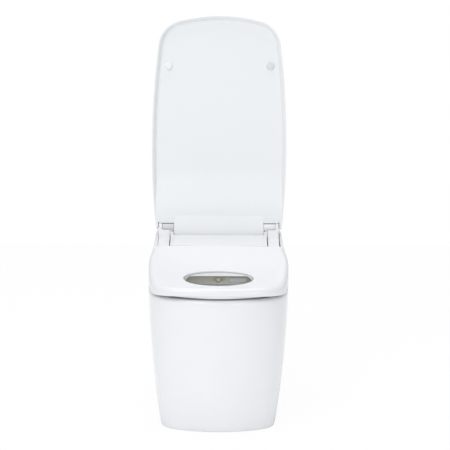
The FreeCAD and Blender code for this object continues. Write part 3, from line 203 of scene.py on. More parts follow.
# the outlet's socket, as radius and height round its middle
boss_profile = np.array([[0.030, 0.071], [0.052, 0.071], [0.052, 0.006], [0.044, 0.006],
                         [0.044, 0.066], [0.0, 0.066]])
arc_steps = (44, 34, 26, 16, 5)
foot_steps, rim_steps, lip_steps, flat_steps = 3, 8, 6, 6
wall_levels, inner_levels, bowl_levels, outside_levels = 34, 9, 28, 12
tube_sides, bend_steps = 40, 18
rough_share, grain_strength = (0.85, 1.2), 0.25


def outline(plan, inset=0.0, back_inset=None, back_round=0.004, back_stops=()):
    """Closed outlines in plan, one row to each level, from the middle of the front round by the
    right: a front arc, corner arcs, long side arcs, and a straight back with small corners. A plan
    gives front, widest place, half width, the front, corner, side and rear side radii, and back;
    each is one number, or one for each level. The corner arc's centre is where two circles meet."""
    back_inset = inset if back_inset is None else back_inset
    values = np.broadcast_arrays(*[np.atleast_1d(np.asarray(v, float))
                                   for v in (*plan, inset, back_inset)])
    (front, widest, half, r_front, r_corner, r_side, r_rear, back,
     inset, back_inset) = [v[:, None] for v in values]
    front, half, back = front + inset, half - inset, back - back_inset
    r_front, r_corner = r_front - inset, r_corner - inset
    r_side, r_rear = r_side - inset, r_rear - inset
    fx, fy, sx = 0 * front, front + r_front, half - r_side
    dx, dy = sx - fx, widest - fy
    span = np.hypot(dx, dy)
    near, far = r_front - r_corner, r_side - r_corner
    along = (span ** 2 + near ** 2 - far ** 2) / (2 * span)
    across = np.sqrt(near ** 2 - along ** 2)
    across = np.where(dx * across < 0, across, -across)
    kx = fx + (dx * along - dy * across) / span
    ky = fy + (dy * along + dx * across) / span
    turn_front, turn_side = np.arctan2(ky - fy, kx - fx), np.arctan2(ky - widest, kx - sx)
    turn_rear = np.arcsin((back - back_round - widest) / (r_rear - back_round))

    def arc(x, y, radius, start, end, count):
        turn = start + (end - start) * np.linspace(0, 1, count, endpoint=False)[None, :]
        return np.stack([x + radius * np.cos(turn), y + radius * np.sin(turn)], -1)

    quarter = math.pi / 2
    corner_x = half - r_rear + (r_rear - back_round) * np.cos(turn_rear)
    stops = np.concatenate([corner_x] + [0 * corner_x + stop for stop in (*back_stops, 0.0)], 1)
    right = np.concatenate([
        arc(fx, fy, r_front, -quarter, turn_front, arc_steps[0]),
        arc(kx, ky, r_corner, turn_front, turn_side, arc_steps[1]),
        arc(sx, widest, r_side, turn_side, 0.0, arc_steps[2]),
        arc(half - r_rear, widest, r_rear, 0.0, turn_rear, arc_steps[3]),
        arc(corner_x, back - back_round, back_round, turn_rear, quarter, arc_steps[4]),
        np.stack([stops, back + 0 * stops], -1)], 1)
    return np.concatenate([right, right[:, -2:0:-1] * np.array([-1.0, 1.0])], 1)


def at_height(rings, z):
    """Rings in plan with their heights: one for each ring, or one for each point."""
    z = np.asarray(z, float)
    z = np.broadcast_to(z[:, None] if z.ndim == 1 else z, rings.shape[:2])
    return np.concatenate([rings, z[..., None]], -1)


def ring_faces(rows, count, closed=False):
    """Quads between rows of closed rings of points; closed joins the last row to the first."""
    index = np.arange(rows * count).reshape(rows, count)
    after = np.roll(index, -1, axis=1)
    if closed:
        index, after = np.concatenate([index, index[:1]]), np.concatenate([after, after[:1]])
    return np.stack([index[:-1], after[:-1], after[1:], index[1:]], -1).reshape(-1, 4)


def quarter_round(radius, steps):
    """A quarter round from its start to its end: how far in, and how far up."""
    turn = np.linspace(0, math.pi / 2, steps + 1)
    return radius * (1 - np.cos(turn)), radius * np.sin(turn)


def finish(name, colour, roughness, shade="", metallic=0.0, ior=1.5, coat=0.0, grain_mm=1.2,
           depth_mm=0.02, cloud_mm=60.0):
    """A material: its colour drifts to a shade in soft clouds, and its skin has a fine waviness."""
    material = bpy.data.materials.new(name)
    material.use_nodes = True
    tree = material.node_tree
    skin = tree.nodes["Principled BSDF"]
    for key, value in (("Metallic", metallic), ("IOR", ior), ("Coat Weight", coat)):
        skin.inputs[key].default_value = value
    place = add_node(tree, "ShaderNodeTexCoord").outputs["Object"]
    cloud = add_node(tree, "ShaderNodeTexNoise", {"Scale": 1000 / cloud_mm, "Detail": 2.0},
                     Vector=place)
    # a Mix node's sockets 0, 6 and 7 are its factor and its two colours
    tone = add_node(tree, "ShaderNodeMix", {"data_type": "RGBA"})
    tree.links.new(cloud.outputs["Fac"], tone.inputs[0])
    tone.inputs[6].default_value = srgb(colour)
    tone.inputs[7].default_value = srgb(shade or colour)
    tree.links.new(tone.outputs[2], skin.inputs["Base Color"])
    rough = add_node(tree, "ShaderNodeMapRange", {"To Min": roughness * rough_share[0],
                                                  "To Max": roughness * rough_share[1]},
                     Value=cloud.outputs["Fac"])
    tree.links.new(rough.outputs[0], skin.inputs["Roughness"])
    grain = add_node(tree, "ShaderNodeTexNoise", {"Scale": 1000 / grain_mm, "Detail": 3.0},
                     Vector=place)
    bump = add_node(tree, "ShaderNodeBump", {"Strength": grain_strength,
                                             "Distance": depth_mm / 1000},
                    Height=grain.outputs[0])
    tree.links.new(bump.outputs["Normal"], skin.inputs["Normal"])
    return material


def dress(piece, material, slot, body, *replaced):
    """Gives a piece its finish, its body and the nodes that it stands for."""
    piece.data.materials.append(material)
    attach(piece, body)
    if replaced:
        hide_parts(*replaced)


def skirt_plan(z):
    """The skirt's outline at each height: it flares out by a power of the height missing."""
    lack = (1 - np.clip(z / (rim_z - flare_end), 0, 1)) ** flare_power
    return (front_y + foot_setback * lack, widest_y, body_half + (foot_half - body_half) * lack,
            front_radius - front_tighter * lack, corner_radius - corner_tighter * lack,
            side_radius, rear_radius, wall_y)


def bowl_rings(turn, height, grow=0.0):
    """Level ovals of the bowl at shares of its height, on smooth curves through its rows."""
    width, length, shift = [
        np.polyval(np.polyfit(bowl_heights, row, bowl_curve_power), height)[:, None]
        for row in (bowl_widths, bowl_lengths, bowl_shifts)]
    rings = np.stack([(bowl_half_x * width + grow) * np.cos(turn),
                      bowl_y + bowl_shift * shift
                      + (bowl_half_y * length + grow) * np.sin(turn)], -1)
    return at_height(rings, rim_z - bowl_depth * (1 - height))


# the skirt: foot, wall, rounded rim and the hollow inside
stops = (0.14, service_x, 0.05)
foot_in, foot_up = quarter_round(foot_round, foot_steps)
rim_in, rim_up = quarter_round(rim_round, rim_steps)
lip_in, lip_up = quarter_round(lip_round, lip_steps)
wall_z = np.unique(np.append(np.linspace(foot_round, rim_z - rim_round, wall_levels), service_z))
inner_z = np.unique(np.append(np.linspace(0, ceiling_z, inner_levels), service_z))[::-1]
inner = at_height(outline(skirt_plan(inner_z), skin_wall, back_stops=stops), inner_z)
foot = at_height(outline(skirt_plan(foot_in), foot_round - foot_up, back_stops=stops), foot_in)[:-1]
wall = at_height(outline(skirt_plan(wall_z), back_stops=stops), wall_z)
rim = at_height(outline(skirt_plan(np.full(rim_steps, rim_z)), rim_in[1:], 0.0, back_stops=stops),
                rim_z - rim_round + rim_up[1:])

# the bowl: its lip, its inside down to the sump, and its outside
edge_turn = np.arctan2((rim[-1][:, 1] - bowl_y) / bowl_half_y, rim[-1][:, 0] / bowl_half_x)
lip = np.stack([np.stack([(bowl_half_x + grow) * np.cos(edge_turn),
                          bowl_y + (bowl_half_y + grow) * np.sin(edge_turn),
                          np.full(len(edge_turn), rim_z - drop)], -1)
                for grow, drop in zip(lip_round - lip_up, lip_in)])
share = np.linspace(0, 1, flat_steps + 1)[1:-1, None, None]
flat = rim[-1] * (1 - share) + lip[0] * share
bowl = bowl_rings(edge_turn, np.linspace(1 - lip_share * lip_round / bowl_depth, 0, bowl_levels))
middle = np.array([0, bowl_y + bowl_shift, 0])
sump = [middle + (bowl[-1] - middle) * [k, k, 1] - [0, 0, d] for k, d in sump_steps]
outside = bowl_rings(edge_turn, np.linspace(0, 1 - bowl_roof / bowl_depth, outside_levels),
                     bowl_wall)
below = middle + (outside[:1] - middle) * [0.0, 0.0, 1] - [0, 0, bowl_underside]
rows = np.concatenate([below, outside, inner, foot, wall, rim, flat, lip, bowl, sump])
faces = ring_faces(len(rows), rows.shape[1])
points = rows.reshape(-1, 3)

# the window in the back: the faces in it are left out, and its edges are closed through the wall
corner = points[faces]
window = ((np.abs(corner[..., 0]).max(1) < service_x + 1e-6)
          & (corner[..., 2].max(1) < service_z + 1e-6)
          & (corner[..., 1].min(1) > wall_y - skin_wall - 0.001))
jamb = np.array([[x, y, z] for x in (-service_x, service_x) for z in (0, service_z)
                 for y in (wall_y - skin_wall, wall_y)])
jamb_faces = np.array([[0, 1, 3, 2], [5, 4, 6, 7], [2, 3, 7, 6]]) + len(points)

# the trapway: a round tube down from the sump, back up over the weir and down into the socket
sump_y, low_z = bowl_y + bowl_shift, rim_z - bowl_depth - trap_drop
climb = (outlet_y - sump_y - (low_bend + top_bend) * (1 + math.sin(rise))) / math.cos(rise)
top_y = sump_y + low_bend + (low_bend + top_bend) * math.sin(rise) + climb * math.cos(rise)
top_z = low_z - (low_bend + top_bend) * math.cos(rise) + climb * math.sin(rise)
low_turn, top_turn = np.linspace(180, 330, bend_steps), np.linspace(150, 0, bend_steps)
bends = [np.stack([y + r * np.cos(np.radians(turn)), z + r * np.sin(np.radians(turn))], -1)
         for y, z, r, turn in ((sump_y + low_bend, low_z, low_bend, low_turn),
                               (top_y, top_z, top_bend, top_turn))]
path = np.concatenate([[[sump_y, trap_start_z]], bends[0], bends[1],
                       [[top_y + top_bend, trap_end_z]]])
way = np.gradient(path, axis=0)
way /= np.linalg.norm(way, axis=1)[:, None]
turn = np.linspace(0, 2 * math.pi, tube_sides, endpoint=False)
tube = np.stack([np.broadcast_to(trap_radius * np.cos(turn), (len(path), tube_sides)),
                 path[:, :1] - way[:, 1:] * trap_radius * np.sin(turn),
                 path[:, 1:] + way[:, :1] * trap_radius * np.sin(turn)], -1)
boss = np.stack([boss_profile[:, :1] * np.cos(turn), outlet_y + boss_profile[:, :1] * np.sin(turn),
                 np.repeat(boss_profile[:, 1:], tube_sides, 1)], -1)
tube_start = len(points) + len(jamb)
tube_faces = ring_faces(len(path), tube_sides)[:, ::-1] + tube_start
boss_faces = ring_faces(len(boss), tube_sides)[:, ::-1] + tube_start + tube.size // 3
ceramic = surface_mesh("ceramic_casting",
                       np.concatenate([points, jamb, tube.reshape(-1, 3), boss.reshape(-1, 3)]),
                       np.concatenate([faces[~window], jamb_faces, tube_faces, boss_faces]))
# glaze pools a little and its skin is glassy, so it reflects sharply over a soft, slow waviness
glaze = finish("glazed vitreous china", "#EFF0F1", 0.08, "#ECEDEE", coat=0.4, grain_mm=14.0,
               depth_mm=0.05)
dress(ceramic, glaze, "ceramic", "base", "ceramic_body")


# Seat: a moulded polypropylene ring with a dished top that climbs to the deck behind. Its shell is
# a few millimetres thick, welded to a base plate below, and two arms reach back to the hinge.

seat_back_y, seat_back_round, seat_back_inset = 0.095, 0.006, 0.0008
seat_plan = (front_y, widest_y, body_half, 0.380, 0.095, 1.8, 1.2, seat_back_y)
seat_low, seat_rise, seat_bottom, arch_half, arch_rise = 0.404, 0.040, 0.376, 0.176, 0.007
arch_end_y, ramp_start_y = -0.25, 0.094
hole_y, hole_half_x, hole_half_y, hole_rear_y = -0.164, 0.0965, 0.111, -0.053
seat_edge, lip_reach, lip_drop, seat_lip = 0.013, 0.003, 0.0035, 0.004
seat_wall, under_gap, seam_gap = 0.0035, 0.002, 0.0004
dish_start, dish_length, dish_half = -0.350, 0.445, 0.2
stations = (0.0, 0.25, 0.5, 0.75, 1.0)
middle_shares, side_shares = (0.0, -0.16, -0.23, 0.05, 1.0), (-0.10, 0.18, 0.47, 0.72, 0.94)
ramp_x, ramp_z, hole_rear_z, view_slope, rear_lean = 0.132, 0.430, 0.3840, 0.1907, 0.006
seat_stops = (0.170, 0.150, 0.1325, ramp_x, 0.10, 0.07, 0.035)
fade_end_y, fade_length, fade_least = 0.0955, 0.014, 0.03
# the parting line under the lip: how far it cuts in, and how far below the lip
seam_steps = ((0.0, 0.0008), (0.0024, 0.0010), (0.0024, 0.0024), (0.0, 0.0026))
wall_rings, top_rings, hole_rings, under_rings = 3, 22, 2, 8
lift_ys = (-0.165, -0.110)


def seat_top(x, y):
    """The dished top: a parabola across, between a middle line and a side line along the seat."""
    t = (y - dish_start) / dish_length
    low, edge = [seat_low + seat_rise * np.polyval(np.polyfit(stations, row, 4), t)
                 for row in (middle_shares, side_shares)]
    return low + (edge - low) * (x / dish_half) ** 2


def seat_ring(inset, drop):
    """A ring round the seat, a drop below its top; by the straight back the drop fades."""
    ring = outline(seat_plan, inset, min(inset, seat_back_inset), seat_back_round, seat_stops)[0]
    fade = np.clip((fade_end_y - ring[:, 1]) / fade_length, fade_least, 1)
    return np.concatenate([ring, (seat_top(*ring.T) - drop * fade)[:, None]], 1)


def hole_ring(grow, drop, turn):
    """A ring round the opening, a drop below the seat's top."""
    ring = np.stack([(hole_half_x + grow) * np.cos(turn),
                     hole_y + (hole_half_y + grow) * np.sin(turn)], -1)
    return np.concatenate([ring, (seat_top(*ring.T) - drop)[:, None]], 1)


def blend_rings(first, last, count, height=None):
    """Rings between two rings, on the seat's top or evenly between their heights."""
    share = np.linspace(0, 1, count + 2)[1:-1, None, None]
    rings = first * (1 - share) + last * share
    if height is not None:
        rings[..., 2] = seat_top(rings[..., 0], rings[..., 1]) - height
    return rings


edge_in, edge_up = quarter_round(seat_edge, 8)
rounds = np.stack([seat_ring(i, seat_edge - u) for i, u in zip(edge_in, edge_up)])
outer = rounds[0].copy()
arch = arch_rise * np.clip(1 - (outer[:, 0] / arch_half) ** 2, 0, 1) * (outer[:, 1] < arch_end_y)
ramp = (outer[:, 1] > ramp_start_y) & (np.abs(outer[:, 0]) < ramp_x + 1e-6)
outer[:, 2] = np.where(ramp, ramp_z, seat_bottom + arch)
turn = np.arctan2((rounds[-1][:, 1] - hole_y) / hole_half_y, rounds[-1][:, 0] / hole_half_x)
lip_turn = np.linspace(0, math.pi / 2, 9)
hole = np.stack([hole_ring(lip_reach * (1 - math.sin(a)), lip_drop * (1 - math.cos(a)), turn)
                 for a in lip_turn])
seam = np.stack([hole_ring(g, lip_drop + d, turn) for g, d in seam_steps])
# behind the opening the wall is short and leans forward, so that the nozzle unit stays in view
rise_share = np.interp(hole[-1][:, 1], lift_ys, (0, 1))
behind = hole[-1][:, 1] - rear_lean * rise_share
rear_edge = np.minimum(hole_rear_z - view_slope * (behind - hole_rear_y), seam[-1][:, 2] - seam_gap)
hole_floor = hole[-1].copy()
hole_floor[:, 1] = behind
hole_floor[:, 2] = seat_bottom + (rear_edge - seat_bottom) * rise_share
hole_back = hole_ring(seat_wall, 0.0, turn)
hole_back[:, 2] = hole_floor[:, 2]
inner = seat_ring(seat_lip, 0.0)
inner[:, 1] = np.minimum(inner[:, 1], seat_back_y - seat_wall)
inner_floor = inner.copy()
inner_floor[:, 2] = outer[:, 2]
inner_top = inner.copy()
inner_top[:, 2] = seat_top(inner[:, 0], inner[:, 1]) - seat_wall - under_gap
hole_top = hole_back.copy()
hole_top[:, 2] = seat_top(hole_back[:, 0], hole_back[:, 1]) - seat_wall - under_gap
rows = np.concatenate([outer[None], blend_rings(outer, rounds[0], wall_rings), rounds,
                       blend_rings(rounds[-1], hole[0], top_rings, 0.0), hole, seam,
                       blend_rings(seam[-1], hole_floor, hole_rings),
                       hole_floor[None], hole_back[None], hole_top[None],
                       blend_rings(hole_top, inner_top, under_rings, seat_wall + under_gap),
                       inner_top[None], inner_floor[None]])
ring_points, ring_quads = rows.reshape(-1, 3), ring_faces(len(rows), rows.shape[1], True)


def soft_prism(profile, x0, x1, bevel, segments=4):
    """A profile in y and z carried straight along x, its edges rounded over."""
    shape = bmesh.new()
    ends = [[shape.verts.new((x, y, z)) for y, z in profile] for x in (x0, x1)]
    shape.faces.new(ends[0])
    shape.faces.new(ends[1][::-1])
    for i in range(len(profile)):
        shape.faces.new([ends[0][i - 1], ends[1][i - 1], ends[1][i], ends[0][i]])
    bmesh.ops.bevel(shape, geom=shape.edges[:], offset=bevel, segments=segments, affect="EDGES",
                    profile=0.5, clamp_overlap=True)
    bmesh.ops.recalc_face_normals(shape, faces=shape.faces[:])
    return shape


def soft_disc(x0, x1, y, z, radius, bevel, sides=48):
    """A round knuckle or barrel along x: its profile turned round its axis, closed at both ends."""
    ins, ups = quarter_round(bevel, 4)
    reach = np.concatenate([[0], radius - bevel + ups, (radius - bevel + ups)[::-1], [0]])
    along = np.concatenate([[x0], x0 + ins, (x1 - ins)[::-1], [x1]])
    turn = np.linspace(0, 2 * math.pi, sides, endpoint=False)
    rows = np.stack([np.repeat(along[:, None], sides, 1), y + reach[:, None] * np.cos(turn),
                     z + reach[:, None] * np.sin(turn)], -1)
    return rows.reshape(-1, 3), ring_faces(len(rows), sides)


def add_part(piece, points=None, faces=None, shape=None):
    """Joins more points and faces, or a worked shape, to a piece's mesh."""
    whole = bmesh.new()
    whole.from_mesh(piece.data)
    extra = bpy.data.meshes.new("extra")
    if shape is None:
        shape = bmesh.new()
        extra.from_pydata(np.asarray(points).tolist(), [], np.asarray(faces).tolist())
        shape.from_mesh(extra)
        bmesh.ops.remove_doubles(shape, verts=shape.verts, dist=merge_reach)
        bmesh.ops.recalc_face_normals(shape, faces=shape.faces[:])
    shape.to_mesh(extra)
    shape.free()
    whole.from_mesh(extra)
    whole.to_mesh(piece.data)
    whole.free()
    bpy.data.meshes.remove(extra)
    shade_smooth(piece.data)


def beside(pair, side):
    """A pair of places across, on one side of the middle, the smaller first."""
    return sorted((side * pair[0], side * pair[1]))


arm_x, heel_x = (0.1415, 0.1735), (0.1637, 0.1735)
hinge_y, hinge_z, knuckle_radius = 0.262, 0.468, 0.0115
arm_bevel, heel_bevel, knuckle_bevel = 0.0022, 0.0012, 0.0015
arm_profile = ((0.0935, 0.4405), (0.236, 0.4405), (0.250, 0.4637), (0.250, 0.4103),
               (0.248, 0.4026), (0.0935, 0.402))
heel_profile = ((0.240, 0.447), (0.2508, 0.465), (0.262, 0.468), (0.262, 0.4568),
                (0.248, 0.4036), (0.240, 0.4032))
seat = surface_mesh("seat_ring", ring_points, ring_quads)
for side in (-1, 1):
    add_part(seat, shape=soft_prism(arm_profile, *beside(arm_x, side), arm_bevel))
    add_part(seat, shape=soft_prism(heel_profile, *beside(heel_x, side), heel_bevel, 2))
    add_part(seat, *soft_disc(*beside(heel_x, side), hinge_y, hinge_z, knuckle_radius,
                              knuckle_bevel))
# a polished mould leaves polypropylene glossy, with a faint orange peel
seat_gloss = finish("glossy moulded polypropylene seat", "#EEEFF0", 0.20, "#ECECED", grain_mm=3.0,
                    depth_mm=0.02)
dress(seat, seat_gloss, "seat_plastic", "seat", "seat_shell")

# the base plate keeps its moulded form, but behind the opening it lies close under the shell, which
# leaves the nozzle unit in view
node_merge_reach = 1e-5
plate_cut_ys = (-0.0745, -0.0650, -0.0450, -0.0130)
plate_cut_xs = (-0.1335, -0.1322, 0.1322, 0.1335)
lift_half, lift_end_y, plate_gap = ramp_x + 0.0005, -0.0129, 0.0012
plate_slope, plate_slope_y = 0.34, -0.0638
plate_lift_ys, plate_lift_zs = (*lift_ys, -0.045, -0.013), (seat_bottom, 0.3938, 0.3946, 0.3965)
plate = bmesh.new()
plate.from_mesh(nodes["seat_base"].data)
bmesh.ops.remove_doubles(plate, verts=plate.verts, dist=node_merge_reach)
cuts = [((0, y, 0), (0, 1, 0)) for y in (*lift_ys, *plate_cut_ys)]
cuts += [((x, 0, 0), (1, 0, 0)) for x in plate_cut_xs]
for place, way in cuts:
    bmesh.ops.bisect_plane(plate, geom=plate.verts[:] + plate.edges[:] + plate.faces[:],
                           plane_co=place, plane_no=way, dist=merge_reach)
for vert in plate.verts:
    x, y, z = vert.co
    if abs(x) < lift_half and lift_ys[0] < y < lift_end_y:
        was = max(seat_bottom, seat_bottom + plate_slope * (y - plate_slope_y))
        high = np.interp(y, plate_lift_ys, plate_lift_zs)
        vert.co.z = min(z + max(high - was, 0.0), seat_top(x, y) - plate_gap)
plate_mesh = bpy.data.meshes.new("seat_plate")
plate.to_mesh(plate_mesh)
plate.free()
plate_mesh.set_sharp_from_angle(angle=math.radians(crease_degrees))
dress(add_piece("seat_plate", plate_mesh), seat_gloss, "seat_plastic", "seat", "seat_base")


# Lid: a shallow moulded polypropylene tray that stands open against its stop, leaning back. A thin
# lip and a sloped border run round its panel, and its tail turns on the hinge between the dampers.

lid_plan = (-0.612, -0.235, 0.1945, 0.460, 0.080, 2.4, 2.4, -0.015)
lid_low, lid_top, lid_round, lid_lip, lid_step = -0.002, 0.022, 0.012, 0.003, 0.0006
border, panel_z, lean, lid_crease_degrees = 0.010, 0.013, math.radians(95), 50
mouth_back, panel_back, tail_half = 0.021, 0.130, 0.130
lid_wall_z, lip_flat = 0.004, (0.0024, 0.0006)
lid_back_round, lid_stops = 0.006, (0.16, 0.128, 0.09, 0.045)
lid_centre = np.array([0, -0.32, 0])


def raise_lid(points):
    """Turns flat lid points up about the hinge's axis and leans them back."""
    x, y, z = np.moveaxis(np.asarray(points, float), -1, 0)
    return np.stack([x, hinge_y + y * math.cos(lean) + z * math.sin(lean),
                     hinge_z - y * math.sin(lean) + z * math.cos(lean)], -1)


def lid_rings(insets, backs, heights):
    """Level rings round the lid, each with its own inset at the back."""
    rings = [outline(lid_plan, i, b, lid_back_round, lid_stops)[0] for i, b in zip(insets, backs)]
    return at_height(np.stack(rings), np.asarray(heights))


def to_pole(ring, count):
    """Rings that shrink from a ring to one point in its middle."""
    share = np.linspace(0, 1, count + 1)[1:, None, None]
    return ring * (1 - share) + (lid_centre + [0, 0, ring[0, 2]]) * share


round_in, round_up = quarter_round(lid_round, 8)
out_wall = lid_rings([0, 0, *round_in], [0, 0, *round_in],
                     [lid_low + lid_step, lid_wall_z, *(lid_top - lid_round + round_up)])
bevel = lid_rings([lid_lip, *lip_flat], [mouth_back, *lip_flat],
                  [lid_low + lid_step, lid_low, lid_low])
slope = np.linspace(0, 1, 13)
sloped = lid_rings(lid_lip + border * slope, mouth_back + panel_back * slope,
                   lid_low + lid_step
                   + (panel_z - lid_low - lid_step) * (slope * slope * (3 - 2 * slope)))
rows = np.concatenate([to_pole(sloped[-1], 8)[::-1], sloped[::-1], bevel[1:], out_wall,
                       to_pole(out_wall[-1], 8)])
lid = surface_mesh("lid_tray", raise_lid(rows.reshape(-1, 3)),
                   ring_faces(len(rows), rows.shape[1]), lid_crease_degrees)

# the tail, and on each side a lug, a strip above it and an ear outside the seat's arm
tail_profile = ((-0.034, -0.0018), (-0.010, -0.0055), (0.022, -0.0100), (0.029, -0.001),
                (0.030, 0.010), (0.026, 0.020), (0.018, 0.022), (-0.034, 0.0215))
ear_profile = ((-0.022, -0.001), (0.003, -0.001), (0.006, 0.003), (0.006, 0.014), (0.002, 0.019),
               (-0.022, 0.021))
lug_profile = ((-0.031, -0.0035), (-0.0121, -0.0035), (-0.0121, 0.004), (-0.031, 0.004))
strip_profile = ((-0.024, 0.0123), (0.002, 0.0123), (0.003, 0.0155), (0.000, 0.0200),
                 (-0.024, 0.0212))
ear_x, lug_x, strip_x = (0.1750, 0.1842), (0.126, 0.1735), (0.126, 0.177)
ear_slant, ear_slant_y, ear_outer_x = 0.16, -0.015, 0.179
tail_bevel, ear_bevel, lug_bevel, strip_bevel = 0.0016, 0.0020, 0.0012, 0.0010
tail = soft_prism(tail_profile, -tail_half, tail_half, tail_bevel, 3)
ears = [soft_prism(ear_profile, *beside(ear_x, side), ear_bevel, 3) for side in (-1, 1)]
for ear in ears:
    for vert in ear.verts:
        vert.co.x -= (math.copysign(ear_slant * max(vert.co.y - ear_slant_y, 0), vert.co.x)
                      * (abs(vert.co.x) > ear_outer_x))
lugs = [soft_prism(lug_profile, *beside(lug_x, side), lug_bevel, 3) for side in (-1, 1)]
lugs += [soft_prism(strip_profile, *beside(strip_x, side), strip_bevel, 2) for side in (-1, 1)]
for shape in (tail, *lugs, *ears):
    for vert in shape.verts:
        vert.co = raise_lid(vert.co)
    add_part(lid, shape=shape)
# the tray is a shade cooler than the seat and less glossy, so the panel reads flat
lid_gloss = finish("glossy moulded polypropylene lid", "#EFF1F2", 0.335, "#EEF0F1", grain_mm=3.0,
                   cloud_mm=200.0)
dress(lid, lid_gloss, "lid_plastic", "lid", "lid_shell")
# its flats keep one level shade right up to their rounded edges
lid.modifiers.new("even_flats", "WEIGHTED_NORMAL").keep_sharp = True

# two rubber bumpers, pushed into the panel, that land on the seat
bumper_x, bumper_y, bumper_sides = 0.147, -0.467, 40
bumper_profile = np.array([[0.0, 0.0062], [0.004, 0.0060], [0.0080, 0.0063], [0.0099, 0.0072],
                           [0.0109, 0.0088], [0.0111, 0.0135]])
turn = np.linspace(0, 2 * math.pi, bumper_sides, endpoint=False)
bumper_points, bumper_faces = [], []
for side in (-1, 1):
    disc = np.stack([side * bumper_x + bumper_profile[:, :1] * np.cos(turn),
                     bumper_y + bumper_profile[:, :1] * np.sin(turn),
                     np.repeat(bumper_profile[:, 1:], bumper_sides, 1)], -1)
    bumper_faces.append(ring_faces(len(disc), bumper_sides) + len(bumper_points) * disc.size // 3)
    bumper_points.append(raise_lid(disc.reshape(-1, 3)))
bumpers = surface_mesh("lid_bumpers", np.concatenate(bumper_points), np.concatenate(bumper_faces))
shape = bmesh.new()
shape.from_mesh(bumpers.data)
bmesh.ops.recalc_face_normals(shape, faces=shape.faces[:])
shape.to_mesh(bumpers.data)
shape.free()
# silicone is matt and slightly warm; the right bumper takes a greyer copy of the rubber, which is
# painted shade, and the left one keeps the white
rubber = finish("moulded silicone rubber", "#F6F6F4", 0.5, "#F0F0EE", grain_mm=0.8)
dress(bumpers, rubber, "rubber_white", "lid", "lid_buffers")
# a greyer copy of the same rubber for the bumper right of the middle: painted shade
bumpers.data.materials.append(
    finish("moulded silicone rubber with painted shade", "#E0E2DE", 0.5, "#DADCD8", grain_mm=0.8))
for face in bumpers.data.polygons:
    face.material_index = int(face.center.x > 0)


# Housing and the other moulded or pressed pieces: the housing is ABS from a polished mould, and the
# brackets are pressed steel. Their edges are rounded over as a mould or a press leaves them, and
# every piece that isn't redrawn gets its finish here.

flat_degrees, bevel_degrees = 0.6, 40


def softened(node, width, segments=3):
    """A merged copy of a node's mesh with its flats joined and its edges rounded."""
    shape = bmesh.new()
    shape.from_mesh(nodes[node].data)
    bmesh.ops.remove_doubles(shape, verts=shape.verts, dist=node_merge_reach)
    bmesh.ops.dissolve_limit(shape, angle_limit=math.radians(flat_degrees), verts=shape.verts[:],
                             edges=shape.edges[:])
    mesh = bpy.data.meshes.new(node + "_moulded")
    shape.to_mesh(mesh)
    shape.free()
    shade_smooth(mesh)
    piece = add_piece(mesh.name, mesh)
    bevel = piece.modifiers.new("edges", "BEVEL")
    bevel.width, bevel.segments, bevel.limit_method = width, segments, "ANGLE"
    bevel.angle_limit = math.radians(bevel_degrees)
    bevel.harden_normals = True
    return piece


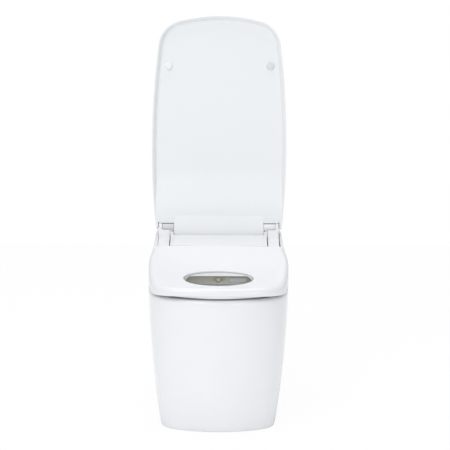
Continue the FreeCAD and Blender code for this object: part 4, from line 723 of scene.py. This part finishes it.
# polished moulds leave plastics glossy and textured ones duller, rubber and foam are matt, and bare
# metals mirror the room softly, with the cloudy patches of their plating, casting or rolling
slot_finish = {
    "ceramic": glaze,
    "seat_plastic": seat_gloss,
    "lid_plastic": lid_gloss,
    "housing_plastic": finish("glossy moulded ABS", "#EEEFF0", 0.22, "#ECECED", grain_mm=3.0),
    "inner_plastic": finish("light grey polypropylene", "#C4C5BD", 0.45, "#BDBEB6"),
    "damper_grey": finish("light grey acetal", "#D9DADC", 0.35, "#D5D6D8"),
    "damper_white": finish("white acetal", "#EEEFEF", 0.34, "#EAEBEB"),
    "nozzle_grey": finish("grey moulded ABS", "#9B9C99", 0.4, "#939491"),
    "lamp_amber": finish("amber polycarbonate lens", "#E2CFA8", 0.2, "#D8C49A"),
    "rubber_white": rubber,
    "rubber_black": finish("black foam rubber", "#26262A", 0.8, "#1F1F22"),
    "steel": finish("brushed stainless steel", "#B7B9BB", 0.3, "#AFB1B3", metallic=1.0),
    "zinc": finish("zinc-plated steel", "#AEB1B3", 0.4, "#A2A5A9", metallic=1.0, cloud_mm=6.0),
    "brass": finish("cast brass", "#C8A96A", 0.35, "#BE9F60", metallic=1.0, cloud_mm=8.0),
    "foil": finish("rolled aluminium foil", "#C9CBCC", 0.3, "#C0C2C4", metallic=1.0, cloud_mm=9.0),
    "board": finish("green glass-fibre laminate", "#2F6B45", 0.4, "#2A6140", cloud_mm=5.0),
    "motor_can": finish("pressed steel motor can", "#8F9296", 0.35, "#888B8F", metallic=1.0),
    "fan_plastic": finish("black glass-filled nylon", "#33343A", 0.5, "#2D2E33"),
}
softened_widths = {"housing_cover": 0.0010, "nozzle_shroud": 0.0012, "floor_brackets": 0.0006,
                   "side_caps": 0.0010}
own_finish = {"wand_tip": finish("light grey moulded ABS", "#F0F1EE", 0.35, "#EAEBE8"),
              "dryer_flap": finish("white moulded ABS", "#FAFAF9", 0.34, "#F4F4F3")}
shroud_grey = finish("warm grey for the shroud's forward faces", "#E0DFD2", 0.4, "#DAD9CB")
shroud_front = -0.7
barrel_x, barrel_radius, barrel_bevel = (0.1308, 0.1630), 0.0104, 0.0012
cap_x, cap_bevel = (0.1306, 0.1406), 0.0012
cap_profile = ((0.2392, 0.4255), (0.2392, 0.4565), (0.2700, 0.4565), (0.2700, 0.4255))
left_wall_x, left_wall_moved = (-0.1772, -0.1758), -0.1743
for part in frame["record"]["subparts"]:
    node, slot_name = part["node"], part["material_slot"]
    material = own_finish.get(node, slot_finish[slot_name])
    for slot in nodes[node].material_slots:
        slot.material = material
    if node in ("lid_damper", "seat_damper"):
        # the soft-close barrel is a plain sleeve on the hinge's pin, closed at both ends
        side = 1 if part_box(node)[0][0] > 0 else -1
        barrel = surface_mesh(node + "_barrel",
                              *soft_disc(*beside(barrel_x, side), hinge_y, hinge_z, barrel_radius,
                                         barrel_bevel))
        dress(barrel, material, slot_name, "base", node)
    if node not in softened_widths:
        continue
    piece = softened(node, softened_widths[node])
    if node == "housing_cover":
        # the left channel's outer wall stands close to the arm, and a block stands under the inner
        # end of each hinge barrel
        for vert in piece.data.vertices:
            if left_wall_x[0] < vert.co.x < left_wall_x[1]:
                vert.co.x = left_wall_moved
        for side in (-1, 1):
            add_part(piece, shape=soft_prism(cap_profile, *beside(cap_x, side), cap_bevel, 3))
    dress(piece, material, slot_name, "base", node)
    # the nozzle shroud's faces that look straight forward take a warm grey, and its other faces
    # keep the piece's finish
    if node == "nozzle_shroud":
        piece.data.materials.append(shroud_grey)
        for face in piece.data.polygons:
            face.material_index = int(face.normal.y < shroud_front)

bpy.context.view_layer.update()
